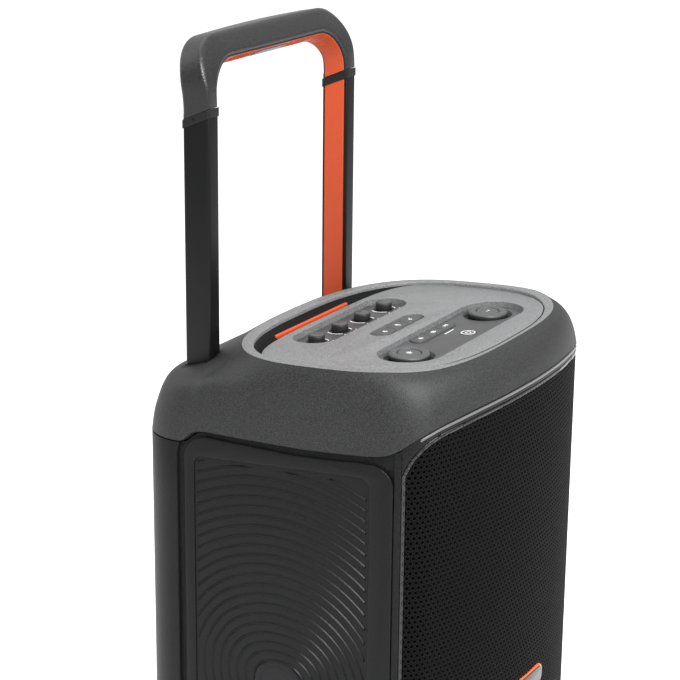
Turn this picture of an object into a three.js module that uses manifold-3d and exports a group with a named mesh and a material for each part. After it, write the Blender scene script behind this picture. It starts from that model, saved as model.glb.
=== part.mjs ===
// A portable party speaker with a pull-up handle, control deck, drivers and rear wheels.
// Millimetres, +Z up, the front faces -Y and the speaker stands on z = 0.
import * as THREE from 'three';
import { mergeVertices } from 'three/addons/utils/BufferGeometryUtils.js';
import Module from 'manifold-3d';

const wasm = await Module();
wasm.setup();

// ---------- driving dimensions ----------
const GAP = 0.4; // clearance between neighbouring pieces
const WIDTH = 332;
const DEPTH = 323; // cabinet only, without the wheels behind it
const HEIGHT = 666; // floor to the front edge of the deck
const WHEEL_OVERHANG = 60; // how far the wheels reach behind the cabinet
const BADGE_PROUD = 1.8; // how far the badge stands in front of the grille
const FRONT_Y = -DEPTH / 2;
const REAR_Y = DEPTH / 2;
const FRONT_RADIUS = 390; // bulge of the front seen from above
const FRONT_CORNER = 40;
const REAR_CORNER = 53;
const WALL = 5;

const DECK_SLOPE = 0.07; // the deck falls 4 degrees towards the rear
const DECK_MID_Z = HEIGHT - 9.8; // deck height at y = 0
const DECK_HALF = { x: 155, front: 117, rear: 119, y: -22 };
const SEAM_MID_Z = HEIGHT - 75.5; // cap and cabinet seam at y = 0
const GRILLE_SIDE_Y = -113; // where the wrapped grille ends on the side
const BASE_Z = 26;

const LEG = { x: 116.4, y: 113.8, width: 16.4, depth: 27.6 };
const SHELF_SLOPE = 0.42; // the cap falls 23 degrees behind the deck
const COLLAR_Z = HEIGHT + 186;
const COLLAR_HEIGHT = 8;
const GRIP = { top: HEIGHT + 254.7, bar: 20, corner: 55, innerCorner: 34, depth: 29 };
const LEAN = { start: COLLAR_Z + 8, length: 40, angle: THREE.MathUtils.degToRad(19) }; // the grip leans back

const SMALL_KNOB = { radius: 7.7, height: 8.6, pitch: 40.4, y: 28.8, top: HEIGHT - 10.4 };
const BIG_KNOB = { radius: 18.5, height: 6, x: 74.5, y: -73.6, top: HEIGHT - 4.6 };
const SMALL_POCKET = { halfX: 82, halfY: 21.5, y: 29, floor: HEIGHT - 19.6 };
const BIG_POCKET = { halfX: 106, halfY: 30, y: -76.5, floor: HEIGHT - 11 };
const POWER = { x: 12, y: -86, radius: 5, top: HEIGHT - 9 };
const BUTTON_POCKET = { halfX: 39, halfY: 10.5, y: -20, floor: HEIGHT - 12 };

const WOOFER = { radius: 82, upperZ: 440, lowerZ: 226 };
const TWEETER = { radius: 34, x: 74, z: 556 };
const BAFFLE_Y = -111;
const BADGE = { halfX: 38, halfY: 11, z: HEIGHT / 2, thick: 4 };
const PORT = { z: 378, bore: 30, outer: 34, flange: 40, length: 90 };
const RECESS = { halfX: 96, low: 452, high: 540, wall: 7, depth: 28.5 }; // rear connection panel
const JACK = { radius: 6.5, z: 505, xs: [-60, -30, 30] };
const INLET = { x: 60, z: 484.5, halfX: 15, halfZ: 11.5 };
const DOOR = { halfX: 70, low: 150, high: 300 }; // battery door opening
const REAR_WALL_HALF = 112; // the flat rear wall lies between the rounded corners of the side walls
const AXLE = 6;
const PANEL = { front: -108, rear: 101, low: 64, deep: 3 }; // side panel, let into the side wall
const FOOT = { x: 110, y: -100, radius: 16, height: 11.4 };
const WHEEL = { radius: 62, width: 34, x: 124, y: REAR_Y + WHEEL_OVERHANG - 62, z: 62 };

// ---------- solids ----------
function solid(geometry) {
  const bare = geometry.clone();
  bare.deleteAttribute('normal');
  bare.deleteAttribute('uv');
  const merged = mergeVertices(bare, 1e-4);
  const corners = [];
  for (let i = 0; i < merged.index.count; i += 3) {
    const triangle = [0, 1, 2].map((k) => merged.index.getX(i + k));
    if (new Set(triangle).size === 3) corners.push(...triangle);
  }
  return new wasm.Manifold(new wasm.Mesh({
    numProp: 3,
    vertProperties: new Float32Array(merged.attributes.position.array),
    triVerts: new Uint32Array(corners),
  }));
}

function geometryOf(manifold) {
  const mesh = manifold.getMesh();
  const geometry = new THREE.BufferGeometry();
  geometry.setAttribute('position', new THREE.BufferAttribute(new Float32Array(mesh.vertProperties), 3));
  geometry.setIndex(new THREE.BufferAttribute(new Uint32Array(mesh.triVerts), 1));
  geometry.computeVertexNormals();
  return geometry;
}

// A block between two corners.
function block(low, high) {
  const size = high.map((value, i) => value - low[i]);
  const geometry = new THREE.BoxGeometry(...size);
  return solid(geometry.translate(...low.map((value, i) => value + size[i] / 2)));
}

// A round rod centred at a point, along 'x', 'y' or 'z'.
function rod(radius, length, centre, along = 'z', sides = 32, endRadius = radius) {
  const geometry = new THREE.CylinderGeometry(endRadius, radius, length, sides);
  if (along === 'z') geometry.rotateX(Math.PI / 2);
  if (along === 'x') geometry.rotateZ(-Math.PI / 2);
  return solid(geometry.translate(...centre));
}

// A turned piece: profile of [radius, height] pairs, either way round, its axis along 'x', 'y' or 'z'.
function turned(profile, centre, along = 'y', sides = 32) {
  const points = profile.map(([radius, height]) => new THREE.Vector2(radius, height));
  if (THREE.ShapeUtils.area(points) < 0) points.reverse();
  const geometry = new THREE.LatheGeometry(points, sides);
  if (along === 'z') geometry.rotateX(Math.PI / 2);
  if (along === 'x') geometry.rotateZ(-Math.PI / 2);
  return solid(geometry.translate(...centre));
}

// A flat outline pulled up from one height to another.
function prism(shape, low, high, curveSegments = 12) {
  const geometry = new THREE.ExtrudeGeometry(shape, { depth: high - low, bevelEnabled: false, curveSegments });
  return solid(geometry.translate(0, 0, low));
}

// A skin over closed rings of equal length, counter-clockwise from above, lowest ring first.
function loft(rings) {
  const count = rings[0].length;
  const positions = rings.flat().flatMap(([x, y, z]) => [x, y, z]);
  const index = [];
  for (let level = 0; level + 1 < rings.length; level += 1) {
    for (let i = 0; i < count; i += 1) {
      const j = (i + 1) % count;
      const [a, b] = [level * count + i, level * count + j];
      index.push(a, b, b + count, a, b + count, a + count);
    }
  }
  [[rings[0], 0, true], [rings.at(-1), (rings.length - 1) * count, false]].forEach(([ring, start, down]) => {
    const middle = positions.length / 3;
    [0, 1, 2].forEach((k) => positions.push(ring.reduce((sum, point) => sum + point[k], 0) / count));
    for (let i = 0; i < count; i += 1) {
      const j = (i + 1) % count;
      index.push(middle, start + (down ? j : i), start + (down ? i : j));
    }
  });
  const geometry = new THREE.BufferGeometry();
  geometry.setAttribute('position', new THREE.BufferAttribute(new Float32Array(positions), 3));
  geometry.setIndex(index);
  return solid(geometry);
}

// ---------- outlines seen from above ----------
const cornerX = WIDTH / 2 - FRONT_CORNER;
const arcY = FRONT_Y + FRONT_RADIUS;
const cornerY = arcY - Math.sqrt((FRONT_RADIUS - FRONT_CORNER) ** 2 - cornerX ** 2);
const arcHalf = Math.asin(cornerX / (FRONT_RADIUS - FRONT_CORNER));

// The cabinet outline, moved inwards by an inset.
function cabinetOutline(inset = 0) {
  const shape = new THREE.Shape();
  const rearX = WIDTH / 2 - REAR_CORNER;
  const rearY = REAR_Y - REAR_CORNER;
  const down = -Math.PI / 2;
  shape.absarc(0, arcY, FRONT_RADIUS - inset, down - arcHalf, down + arcHalf, false);
  shape.absarc(cornerX, cornerY, FRONT_CORNER - inset, down + arcHalf, 0, false);
  shape.absarc(rearX, rearY, REAR_CORNER - inset, 0, Math.PI / 2, false);
  shape.absarc(-rearX, rearY, REAR_CORNER - inset, Math.PI / 2, Math.PI, false);
  shape.absarc(-cornerX, cornerY, FRONT_CORNER - inset, Math.PI, Math.PI * 1.5 - arcHalf, false);
  return shape;
}

// Where rays from the deck's centre meet an outline, at equal turns.
const SPOKES = 60;
function spokes(outline) {
  const points = outline.getPoints(24);
  const centre = new THREE.Vector2(0, DECK_HALF.y);
  const ring = [];
  for (let i = 0; i < SPOKES; i += 1) {
    const angle = ((i + 0.5) / SPOKES) * Math.PI * 2;
    const ray = new THREE.Vector2(Math.cos(angle), Math.sin(angle));
    let reach = 0;
    points.forEach((point, k) => {
      const a = point.clone().sub(centre);
      const edge = points[(k + 1) % points.length].clone().sub(point);
      const across = ray.cross(edge);
      if (Math.abs(across) < 1e-9) return;
      const far = a.cross(edge) / across;
      const along = a.cross(ray) / across;
      if (far > 0 && along >= -1e-6 && along <= 1 + 1e-6) reach = Math.max(reach, far);
    });
    ring.push([centre.x + ray.x * reach, centre.y + ray.y * reach]);
  }
  return ring;
}

// The deck's edge: a superellipse, squarer at the front than at the rear.
function deckRing(inset = 0, rear = DECK_HALF.rear) {
  const ring = [];
  for (let i = 0; i < SPOKES; i += 1) {
    const angle = ((i + 0.5) / SPOKES) * Math.PI * 2;
    const [c, s] = [Math.cos(angle), Math.sin(angle)];
    const power = s < 0 ? 3.1 : 2.7;
    const [a, b] = [DECK_HALF.x - inset, (s < 0 ? DECK_HALF.front : rear) - inset];
    const reach = (Math.abs(c / a) ** power + Math.abs(s / b) ** power) ** (-1 / power);
    ring.push([c * reach, DECK_HALF.y + s * reach]);
  }
  return ring;
}

const deckZ = (y) => DECK_MID_Z - DECK_SLOPE * y;

// The seam climbs over the rounded front and steps down behind the side panel.
function seamZ(y) {
  const climb = 33 * Math.max(0, (-65 - y) / 96.5) ** 2;
  const step = 12 * THREE.MathUtils.smoothstep(y, 82, 106);
  return SEAM_MID_Z - 0.065 * y + climb - step;
}

function lift(ring, height) {
  return ring.map(([x, y]) => [x, y, height(y)]);
}

// A stadium of a pocket or a button, rounded at both ends.
function stadium(halfX, halfY, y) {
  const shape = new THREE.Shape();
  shape.absarc(halfX - halfY, y, halfY, -Math.PI / 2, Math.PI / 2, false);
  shape.absarc(-halfX + halfY, y, halfY, Math.PI / 2, Math.PI * 1.5, false);
  return shape;
}

function rounded(halfX, halfY, radius, x = 0, y = 0) {
  const shape = new THREE.Shape();
  [[1, -1, -0.5], [1, 1, 0], [-1, 1, 0.5], [-1, -1, 1]].forEach(([sx, sy, turn]) => {
    const start = turn * Math.PI;
    const centre = [x + sx * (halfX - radius), y + sy * (halfY - radius)];
    shape.absarc(...centre, radius, start, start + Math.PI / 2, false);
  });
  return shape;
}

// ---------- cabinet ----------
// How the cap runs from the deck's edge (0) to the seam (1): [sideways, downwards].
const CAP_SIDE = [[0, 0], [0.3, 0.14], [0.62, 0.4], [0.88, 0.72], [1, 1]];
const CAP_REAR = [[0, 0], [0.45, 0.24], [0.8, 0.4], [0.95, 0.72], [1, 1]];

function capSolid(inset, sink) {
  const edge = deckRing(inset);
  const foot = spokes(cabinetOutline(inset));
  const rings = [...CAP_SIDE.keys()].reverse().map((level) => edge.map(([x, y], i) => {
    const rearness = THREE.MathUtils.smoothstep(y, 0, 70);
    const out = THREE.MathUtils.lerp(CAP_SIDE[level][0], CAP_REAR[level][0], rearness);
    const fall = THREE.MathUtils.lerp(CAP_SIDE[level][1], CAP_REAR[level][1], rearness);
    const footY = foot[i][1];
    const top = deckZ(y) - sink;
    return [
      THREE.MathUtils.lerp(x, foot[i][0], out),
      THREE.MathUtils.lerp(y, footY, out),
      THREE.MathUtils.lerp(top, seamZ(footY) + 0.2, fall),
    ];
  }));
  const base = foot.map(([x, y]) => [x, y, seamZ(y) + 0.2 - (sink > 0 ? 30 : 0)]);
  return loft(sink > 0 ? [base, ...rings] : rings);
}

function legHole(side, clearance, low, high) {
  const { x, y, width, depth } = LEG;
  return prism(rounded(width / 2 + clearance, depth / 2 + clearance, 3, side * x, y), low, high, 2);
}

function topCap() {
  let cap = capSolid(0, 0).subtract(capSolid(4, 4));
  const well = deckRing(-GAP);
  cap = cap.subtract(loft([lift(well, (y) => deckZ(y) - 20), lift(well, () => HEIGHT + 20)]));
  [-1, 1].forEach((side) => {
    cap = cap.subtract(legHole(side, 1, 560, 700));
  });
  return cap;
}

function controlDeck() {
  const edge = deckRing(0);
  let deck = loft([lift(edge, (y) => deckZ(y) - 14), lift(edge, deckZ)]);
  [SMALL_POCKET, BIG_POCKET, BUTTON_POCKET].forEach(({ halfX, halfY, y, floor }) => {
    deck = deck.subtract(prism(stadium(halfX, halfY, y), floor, HEIGHT + 20, 7));
  });
  const slotOuter = deckRing(-1, 106);
  const slotInner = deckRing(12, 92.5);
  const slot = loft([lift(slotOuter, (y) => deckZ(y) - 9), lift(slotOuter, () => HEIGHT + 20)])
    .subtract(loft([lift(slotInner, (y) => deckZ(y) - 30), lift(slotInner, () => HEIGHT + 30)]))
    .intersect(block([-134, 24, 600], [134, 100, 700]));
  deck = deck.subtract(slot);
  [...knobPlaces(), ...buttonPlaces(), POWER].forEach(({ x, y, radius }) => {
    deck = deck.subtract(rod(radius > 5 ? 3.5 : 2.6, 60, [x, y, HEIGHT], 'z', 12));
  });
  return deck;
}

function slotPad() {
  const y = 71.8;
  return prism(rounded(63, 2.2, 1.8, 0, y), deckZ(y) - 8.4, deckZ(y) - 3, 4);
}

// Sides and rear in one, with the front left open for the baffle.
function cabinetWalls() {
  const outer = spokes(cabinetOutline(0));
  const inner = spokes(cabinetOutline(WALL));
  const top = (y) => seamZ(y) - GAP;
  let shell = loft([lift(outer, () => BASE_Z), lift(outer, top)])
    .subtract(loft([lift(inner, () => BASE_Z - 5), lift(inner, () => HEIGHT)]))
    .subtract(block([-200, -200, 0], [200, GRILLE_SIDE_Y + GAP, 700]));
  [-1, 1].forEach((side) => {
    shell = shell.subtract(sideways(sidePlate(GAP), side, WIDTH / 2 - PANEL.deep, WIDTH / 2 + 4));
    shell = shell.subtract(wheelWell(side, 4));
  });
  shell = shell.subtract(block([-150, 120, 0], [150, 170, 74]));
  shell = shell.subtract(rearHole(RECESS)).subtract(rearHole(DOOR));
  return shell.subtract(rod(PORT.outer + GAP, 60, [0, REAR_Y, PORT.z], 'y'));
}

function rearHole({ halfX, low, high }) {
  return block([-halfX, 140, low], [halfX, 170, high]);
}

function sideWall(side) {
  const [near, far] = [side * (REAR_WALL_HALF + GAP), side * WIDTH].sort((a, b) => a - b);
  return cabinetWalls().intersect(block([near, -DEPTH, 0], [far, DEPTH, HEIGHT]));
}

function rearWall() {
  return cabinetWalls().intersect(block([-REAR_WALL_HALF, 100, 0], [REAR_WALL_HALF, DEPTH, HEIGHT]));
}

// Corner points [y, z] of a side panel; its upper edge follows the seam.
function sidePlate(grow) {
  const points = [];
  const [front, rear, low] = [PANEL.front - grow, PANEL.rear + grow, PANEL.low - grow];
  points.push([front, low], [rear, low]);
  for (let i = 0; i <= 10; i += 1) {
    const y = rear + (front - rear) * (i / 10);
    points.push([y, seamZ(y) - 4 + grow * 2 - (i === 0 ? 6 : 0)]);
  }
  return points;
}

// An outline of [y, z] points given a thickness between two distances from the centre plane.
function sideways(points, side, near, far) {
  const shape = new THREE.Shape(points.map(([y, z]) => new THREE.Vector2(y, z)));
  const geometry = new THREE.ExtrudeGeometry(shape, { depth: far - near, bevelEnabled: false });
  geometry.applyMatrix4(new THREE.Matrix4().set(0, 0, 1, 0, 1, 0, 0, 0, 0, 1, 0, 0, 0, 0, 0, 1));
  geometry.translate(side > 0 ? near : -far, 0, 0);
  return solid(geometry);
}

function sidePanel(side) {
  const panel = sideways(sidePlate(-GAP / 2), side, WIDTH / 2 - PANEL.deep + 0.3, WIDTH / 2);
  const recess = [[-88, 80], [91, 80], [91, HEIGHT - 104], [-88, HEIGHT - 91]];
  return panel.subtract(sideways(recess, side, 164.8, 170)).subtract(wheelWell(side, 5));
}

function baseTray() {
  const outline = cabinetOutline(0);
  let tray = prism(outline, 8, BASE_Z - GAP, 10);
  [-1, 1].forEach((side) => {
    tray = tray.subtract(wheelWell(side, 4));
    tray = tray.add(block([side * 62 - 6, 132, 20], [side * 62 + 6, 168, 73]));
    tray = tray.subtract(rod(FOOT.radius + GAP, 20, [side * FOOT.x, FOOT.y, 2], 'z', 24));
  });
  return tray.subtract(rod(AXLE + 0.5, 320, [0, WHEEL.y, WHEEL.z], 'x', 16));
}

function wheelWell(side, clearance) {
  const { radius, width, x, y, z } = WHEEL;
  const well = rod(radius + clearance, width + 2 * clearance, [side * x, y, z], 'x', 28);
  const outside = block([side * x - width / 2 - clearance, y, z - radius - clearance],
    [side * x + width / 2 + clearance, y + 90, z + radius + clearance]);
  return well.add(outside);
}

function frontBaffle() {
  const low = BASE_Z + GAP;
  const high = seamZ(BAFFLE_Y) - 6;
  let baffle = block([-154, BAFFLE_Y, low], [154, BAFFLE_Y + 12, high]);
  [WOOFER.upperZ, WOOFER.lowerZ].forEach((z) => {
    baffle = baffle.subtract(rod(WOOFER.radius - 6, 40, [0, BAFFLE_Y, z], 'y', 28));
  });
  [-1, 1].forEach((side) => {
    baffle = baffle.subtract(rod(TWEETER.radius - 5, 40, [side * TWEETER.x, BAFFLE_Y, TWEETER.z], 'y', 20));
  });
  return baffle;
}

function wrap(inset, thick, low, highOf) {
  const outer = spokes(cabinetOutline(inset));
  const inner = spokes(cabinetOutline(inset + thick));
  return loft([lift(outer, low), lift(outer, highOf)])
    .subtract(loft([lift(inner, () => 0), lift(inner, () => 700)]))
    .intersect(block([-200, -200, 0], [200, GRILLE_SIDE_Y, 700]));
}

function frontGrille() {
  return wrap(0.3, 2.2, () => BASE_Z + GAP, (y) => seamZ(y) - 7);
}

function lightStrip() {
  const strip = wrap(-0.2, 5, (y) => seamZ(y) - 5, (y) => seamZ(y) - 1.6);
  return strip.intersect(block([-150, -200, 0], [150, -100, 700]));
}

// A plain pill-shaped badge standing on the grille at mid height.
function frontBadge() {
  const { halfX, halfY, z, thick } = BADGE;
  const pill = rounded(halfX, halfY, halfY - 1);
  const geometry = new THREE.ExtrudeGeometry(pill, { depth: thick, bevelEnabled: false, curveSegments: 8 });
  geometry.rotateX(Math.PI / 2);
  const face = spokes(cabinetOutline(0));
  return solid(geometry.translate(0, FRONT_Y + thick - BADGE_PROUD, z))
    .subtract(loft([lift(face, () => z - 40), lift(face, () => z + 40)]));
}

// ---------- sound parts ----------
function wooferFrame(z) {
  const r = WOOFER.radius;
  const profile = [[r - 10, -6], [r, -6], [r, -1], [r - 9, 0], [46, 46], [46, 78], [20, 78], [20, 60], [38, 56],
    [38, 46], [r - 14, -1], [r - 10, -6]];
  return turned(profile, [0, BAFFLE_Y - GAP, z], 'y', 24);
}

function wooferCone(z) {
  const r = WOOFER.radius - 16;
  const profile = [[0, 22], [18, 26], [22, 30], [r - 12, 1], [r - 6, -4], [r, 0], [r - 1.4, 2.4], [r - 6, -1.6],
    [r - 11, 4], [20, 34], [0, 34]];
  return turned(profile, [0, BAFFLE_Y - GAP - 3, z], 'y', 24);
}

function tweeter(side) {
  const r = TWEETER.radius;
  const profile = [[0, 10], [7, 10], [12, 14], [r - 8, -4], [r, -4], [r, -0.4], [r - 6, -0.4], [r - 8, 10],
    [22, 34], [0, 34]];
  return turned(profile, [side * TWEETER.x, BAFFLE_Y, TWEETER.z], 'y', 20);
}

function bassPort() {
  const { bore, outer, flange, length, z } = PORT;
  const profile = [[bore, 1.5], [flange - 4, 3.4], [flange, 3.4], [flange, GAP], [outer, GAP], [outer, -length],
    [bore, -length], [bore, 1.5]];
  return turned(profile, [0, REAR_Y, z], 'y', 16);
}

// ---------- rear ----------
function rearPanel() {
  const { halfX, low, high, wall, depth } = RECESS;
  const front = REAR_Y - 1 - depth;
  const floor = front + wall;
  let panel = block([-halfX + 0.5, front, low + 0.5], [halfX - 0.5, REAR_Y - 1, high - 0.5]);
  panel = panel.subtract(block([-halfX + 8, floor, low + wall], [halfX - 8, REAR_Y + 10, high - wall]));
  JACK.xs.forEach((x) => {
    panel = panel.subtract(rod(JACK.radius, 30, [x, front + wall / 2, JACK.z], 'y', 20));
  });
  panel = panel.subtract(block([-8, front - 10, JACK.z - 5], [8, floor + 6, JACK.z + 3])); // USB
  const { x, z } = INLET;
  const [w, h] = [INLET.halfX + GAP, INLET.halfZ + GAP];
  return panel.subtract(block([x - w, front - 10, z - h], [x + w, floor + 6, z + h]));
}

function powerInlet() {
  const { x, z, halfX, halfZ } = INLET;
  return block([x - halfX, 122, z - halfZ], [x + halfX, 142, z + halfZ])
    .subtract(block([x - halfX + 4, 128, z - halfZ + 4], [x + halfX - 4, 150, z + halfZ - 4]));
}

function batteryDoor() {
  const { halfX, low, high } = DOOR;
  const fingerGrip = block([-20, 158.5, high - 20], [20, 170, high - 8]);
  return block([1 - halfX, REAR_Y - 5, low + 1], [halfX - 1, REAR_Y - 0.6, high - 1]).subtract(fingerGrip);
}

// ---------- handle ----------
function guideTube(side) {
  return legHole(side, 3, HEIGHT - 320, HEIGHT - 48).subtract(legHole(side, 0.8, HEIGHT - 330, HEIGHT));
}

// Cuts a piece to the slope that the cap has where the legs enter it.
function slopedSlab(side, grow, z, height) {
  const { x, y, width, depth } = LEG;
  const ring = rounded(width / 2 + grow, depth / 2 + grow, 3.5, side * x, y).getPoints(4);
  const corners = ring.map((point) => [point.x, point.y]);
  const level = (base) => corners.map(([px, py]) => [px, py, base - SHELF_SLOPE * (py - y)]);
  return loft([level(z), level(z + height)]);
}

function leg(side) {
  const { x, y } = LEG;
  const body = legHole(side, 0, HEIGHT - 90, COLLAR_Z + 4);
  const inward = side * x - side * (LEG.width / 2);
  const groove = block([Math.min(inward, inward + side * 1.6), y - 11.2, HEIGHT - 100],
    [Math.max(inward, inward + side * 1.6), y + 11.2, COLLAR_Z + 20]);
  return body.subtract(groove).subtract(legHole(side, -4, HEIGHT - 100, COLLAR_Z - 10));
}

function legStrip(side) {
  const { x, y, width } = LEG;
  const inner = side * (x - width / 2);
  const [a, b] = [inner + side * 0.05, inner + side * 1.3];
  return block([Math.min(a, b), y - 10.8, HEIGHT - 88], [Math.max(a, b), y + 10.8, COLLAR_Z - 9]);
}

function legCollar(side) {
  return slopedSlab(side, 1.4, COLLAR_Z - 3, COLLAR_HEIGHT).subtract(legHole(side, GAP, 600, 1000));
}

// The grip: an arch bar, [x, z] outline, thick in y.
function arch(inner, outer, low, front, rear) {
  const shape = new THREE.Shape();
  const [r, R] = [inner.corner, outer.corner];
  shape.moveTo(outer.x, low);
  shape.absarc(outer.x - R, outer.top - R, R, 0, Math.PI / 2, false);
  shape.absarc(-outer.x + R, outer.top - R, R, Math.PI / 2, Math.PI, false);
  shape.lineTo(-outer.x, low);
  shape.lineTo(-inner.x, low);
  shape.absarc(-inner.x + r, inner.top - r, r, Math.PI, Math.PI / 2, true);
  shape.absarc(inner.x - r, inner.top - r, r, Math.PI / 2, 0, true);
  shape.lineTo(inner.x, low);
  const options = { depth: rear - front, bevelEnabled: false, curveSegments: 10 };
  const geometry = new THREE.ExtrudeGeometry(shape, options);
  geometry.rotateX(Math.PI / 2);
  return solid(geometry.translate(0, rear, 0));
}

const ARCH_LOW = COLLAR_Z + 6;
const archOuter = { x: LEG.x + LEG.width / 2 + 0.6, top: GRIP.top, corner: GRIP.corner };
const archInner = { x: LEG.x - LEG.width / 2, top: GRIP.top - GRIP.bar, corner: GRIP.innerCorner };

function gripShell() {
  const [front, rear] = [LEG.y - GRIP.depth / 2, LEG.y + GRIP.depth / 2];
  let shell = arch(archInner, archOuter, ARCH_LOW - 6, front, rear);
  [-1, 1].forEach((side) => {
    const wedge = slopedSlab(side, 8, COLLAR_Z - 60, 60 + COLLAR_HEIGHT - 3 + GAP);
    shell = shell.subtract(wedge);
    shell = shell.subtract(legHole(side, GAP, COLLAR_Z - 60, COLLAR_Z + 4 + GAP));
  });
  const lining = { x: archInner.x + 2.2, top: archInner.top + 2.2, corner: GRIP.innerCorner + 2.2 };
  shell = shell.subtract(arch(archInner, lining, 800, LEG.y - 11.5, LEG.y + 11.5));
  return shell.subtract(block([-24.6, LEG.y - 8.1, archInner.top - 5], [24.6, LEG.y + 8.1, archInner.top + 5]));
}

function gripInsert() {
  const outside = { x: archInner.x + 1.8, top: archInner.top + 1.8, corner: GRIP.innerCorner + 1.6 };
  const lining = arch(archInner, outside, COLLAR_Z + 10, LEG.y - 11, LEG.y + 11);
  return lining.subtract(block([-24.5, LEG.y - 8, 800], [24.5, LEG.y + 8, 1000]));
}

// Bends a piece of the grip back: an arc over the first stretch, straight above it.
function leanBack(geometry) {
  const { start, length, angle } = LEAN;
  const points = geometry.attributes.position;
  for (let i = 0; i < points.count; i += 1) {
    const height = points.getZ(i) - start;
    if (height > 0) {
      const bent = Math.min(height, length);
      const turn = angle * (bent / length);
      const radius = length / angle;
      const back = radius * (1 - Math.cos(turn)) + (height - bent) * Math.sin(angle);
      const rise = radius * Math.sin(turn) + (height - bent) * Math.cos(angle);
      const across = points.getY(i) - LEG.y;
      points.setY(i, LEG.y + back + across * Math.cos(turn));
      points.setZ(i, start + rise - across * Math.sin(turn));
    }
  }
  geometry.computeVertexNormals();
}

function releaseButton() {
  return prism(rounded(24, 7.5, 4, 0, LEG.y), archInner.top - 1.5, archInner.top + 1.7, 5);
}

// ---------- controls ----------
function knobPlaces() {
  const small = [-1.5, -0.5, 0.5, 1.5].map((step, i) => ({
    name: `level_knob_${i + 1}`, x: step * SMALL_KNOB.pitch, y: SMALL_KNOB.y, radius: SMALL_KNOB.radius,
  }));
  const big = [-1, 1].map((side) => ({
    name: side < 0 ? 'light_dial' : 'volume_dial', x: side * BIG_KNOB.x, y: BIG_KNOB.y, radius: BIG_KNOB.radius,
  }));
  return [...small, ...big];
}

function buttonPlaces() {
  const row = (names, y, top) => names.map((name, i) => ({ name, x: (i - 1) * 23, y, radius: 5, top }));
  return [
    ...row(['voice_button', 'echo_button', 'guitar_button'], -20, HEIGHT - 8.6),
    ...row(['bass_button', 'link_button', 'play_button'], -57, HEIGHT - 8),
  ];
}

function levelKnob({ x, y }) {
  const { radius, height, top } = SMALL_KNOB;
  const profile = [[0, -height], [radius, -height], [radius, -1], [radius - 1, 0], [0, 0]];
  const knob = turned(profile, [x, y, top], 'z', 20).add(rod(2.8, 13, [x, y, top - height - 6], 'z', 10));
  return knob.subtract(block([x - 0.6, y + 2, top - 0.6], [x + 0.6, y + radius + 1, top + 1]));
}

function dial({ x, y }) {
  const { radius, height, top } = BIG_KNOB;
  const bore = 10.9;
  const profile = [[bore, -height], [radius, -height], [radius, -1.4], [radius - 1.2, 0], [bore, 0],
    [bore, -height]];
  return turned(profile, [x, y, top], 'z', 28);
}

function dialButton({ x, y }) {
  const { height, top } = BIG_KNOB;
  const profile = [[0, -height + 2], [10.4, -height + 2], [10.4, -0.6], [9.8, 0], [0, 0]];
  return turned(profile, [x, y, top - 0.2], 'z', 20).add(rod(2.8, 12, [x, y, top - height - 4], 'z', 10));
}

function pushButton({ x, y, top }) {
  const [halfX, halfY] = y > -40 ? [11, 7] : [10.8, 6];
  return prism(rounded(halfX, halfY, 5, x, y), top - 2, top, 3).add(rod(1.9, 14, [x, y, top - 7], 'z', 8));
}

// ---------- wheels and feet ----------
function tyre(side) {
  const { radius, width, x, y, z } = WHEEL;
  const half = width / 2;
  const profile = [[radius - 14, -half], [radius - 4, -half], [radius, -half + 5], [radius, half - 5],
    [radius - 4, half], [radius - 14, half], [radius - 14, -half]];
  return turned(profile, [side * x, y, z], 'x', 32);
}

function hub(side) {
  const { radius, width, x, y, z } = WHEEL;
  const half = width / 2;
  const rim = radius - 14 - 0.3;
  const bore = AXLE + 0.3;
  const profile = [[bore, -half], [rim, -half], [rim, half], [rim - 6, half], [rim - 9, half - 6],
    [18, half - 8], [14, half], [bore, half], [bore, -half]];
  return turned(profile.map(([r, h]) => [r, side * h]), [side * x, y, z], 'x', 28);
}

function foot(side) {
  const { x, y, radius, height } = FOOT;
  const profile = [[0, 0], [radius - 2, 0], [radius, 2], [radius, height], [0, height]];
  return turned(profile, [side * x, y, 0], 'z', 24);
}

// ---------- assembly ----------
const cabinet = new THREE.Group();
// Puts the origin under the middle of the whole speaker.
cabinet.position.y = -(WHEEL_OVERHANG - BADGE_PROUD) / 2;

function place(name, manifold, color, roughness = 0.7, metalness = 0) {
  const material = new THREE.MeshStandardMaterial({ color, roughness, metalness });
  const mesh = new THREE.Mesh(geometryOf(manifold), material);
  mesh.name = name;
  cabinet.add(mesh);
}

const DARK = 0x35373a;
const BLACK = 0x16171a;
const DECK_GREY = 0x8d8f92;
const KNOB_GREY = 0x55585c;
const ORANGE = 0xd85a32;
const sides = [[-1, 'left'], [1, 'right']];

place('rear_wall', rearWall(), BLACK, 0.6);
place('base_tray', baseTray(), BLACK, 0.7);
place('front_baffle', frontBaffle(), BLACK, 0.8);
place('front_grille', frontGrille(), BLACK, 0.45, 0.7);
place('top_cap', topCap(), DARK, 0.55);
place('control_deck', controlDeck(), DECK_GREY, 0.5);
place('slot_pad', slotPad(), ORANGE, 0.7);
place('light_strip', lightStrip(), 0xb9bcc0, 0.35);
place('front_badge', frontBadge(), ORANGE, 0.4);
place('bass_port', bassPort(), BLACK, 0.6);
place('rear_panel', rearPanel(), BLACK, 0.6);
place('power_inlet', powerInlet(), BLACK, 0.5);
place('battery_door', batteryDoor(), DARK, 0.6);
place('battery_pack', block([-62, 70, 158], [62, 150, 292]), DARK, 0.6);
place('amplifier_board', block([-90, 80, 470], [90, 84, 560]), 0x1d5a34, 0.6);
place('power_supply', block([-90, 60, 330], [-45, 130, 440]), 0x8a8d90, 0.4, 0.8);
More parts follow.
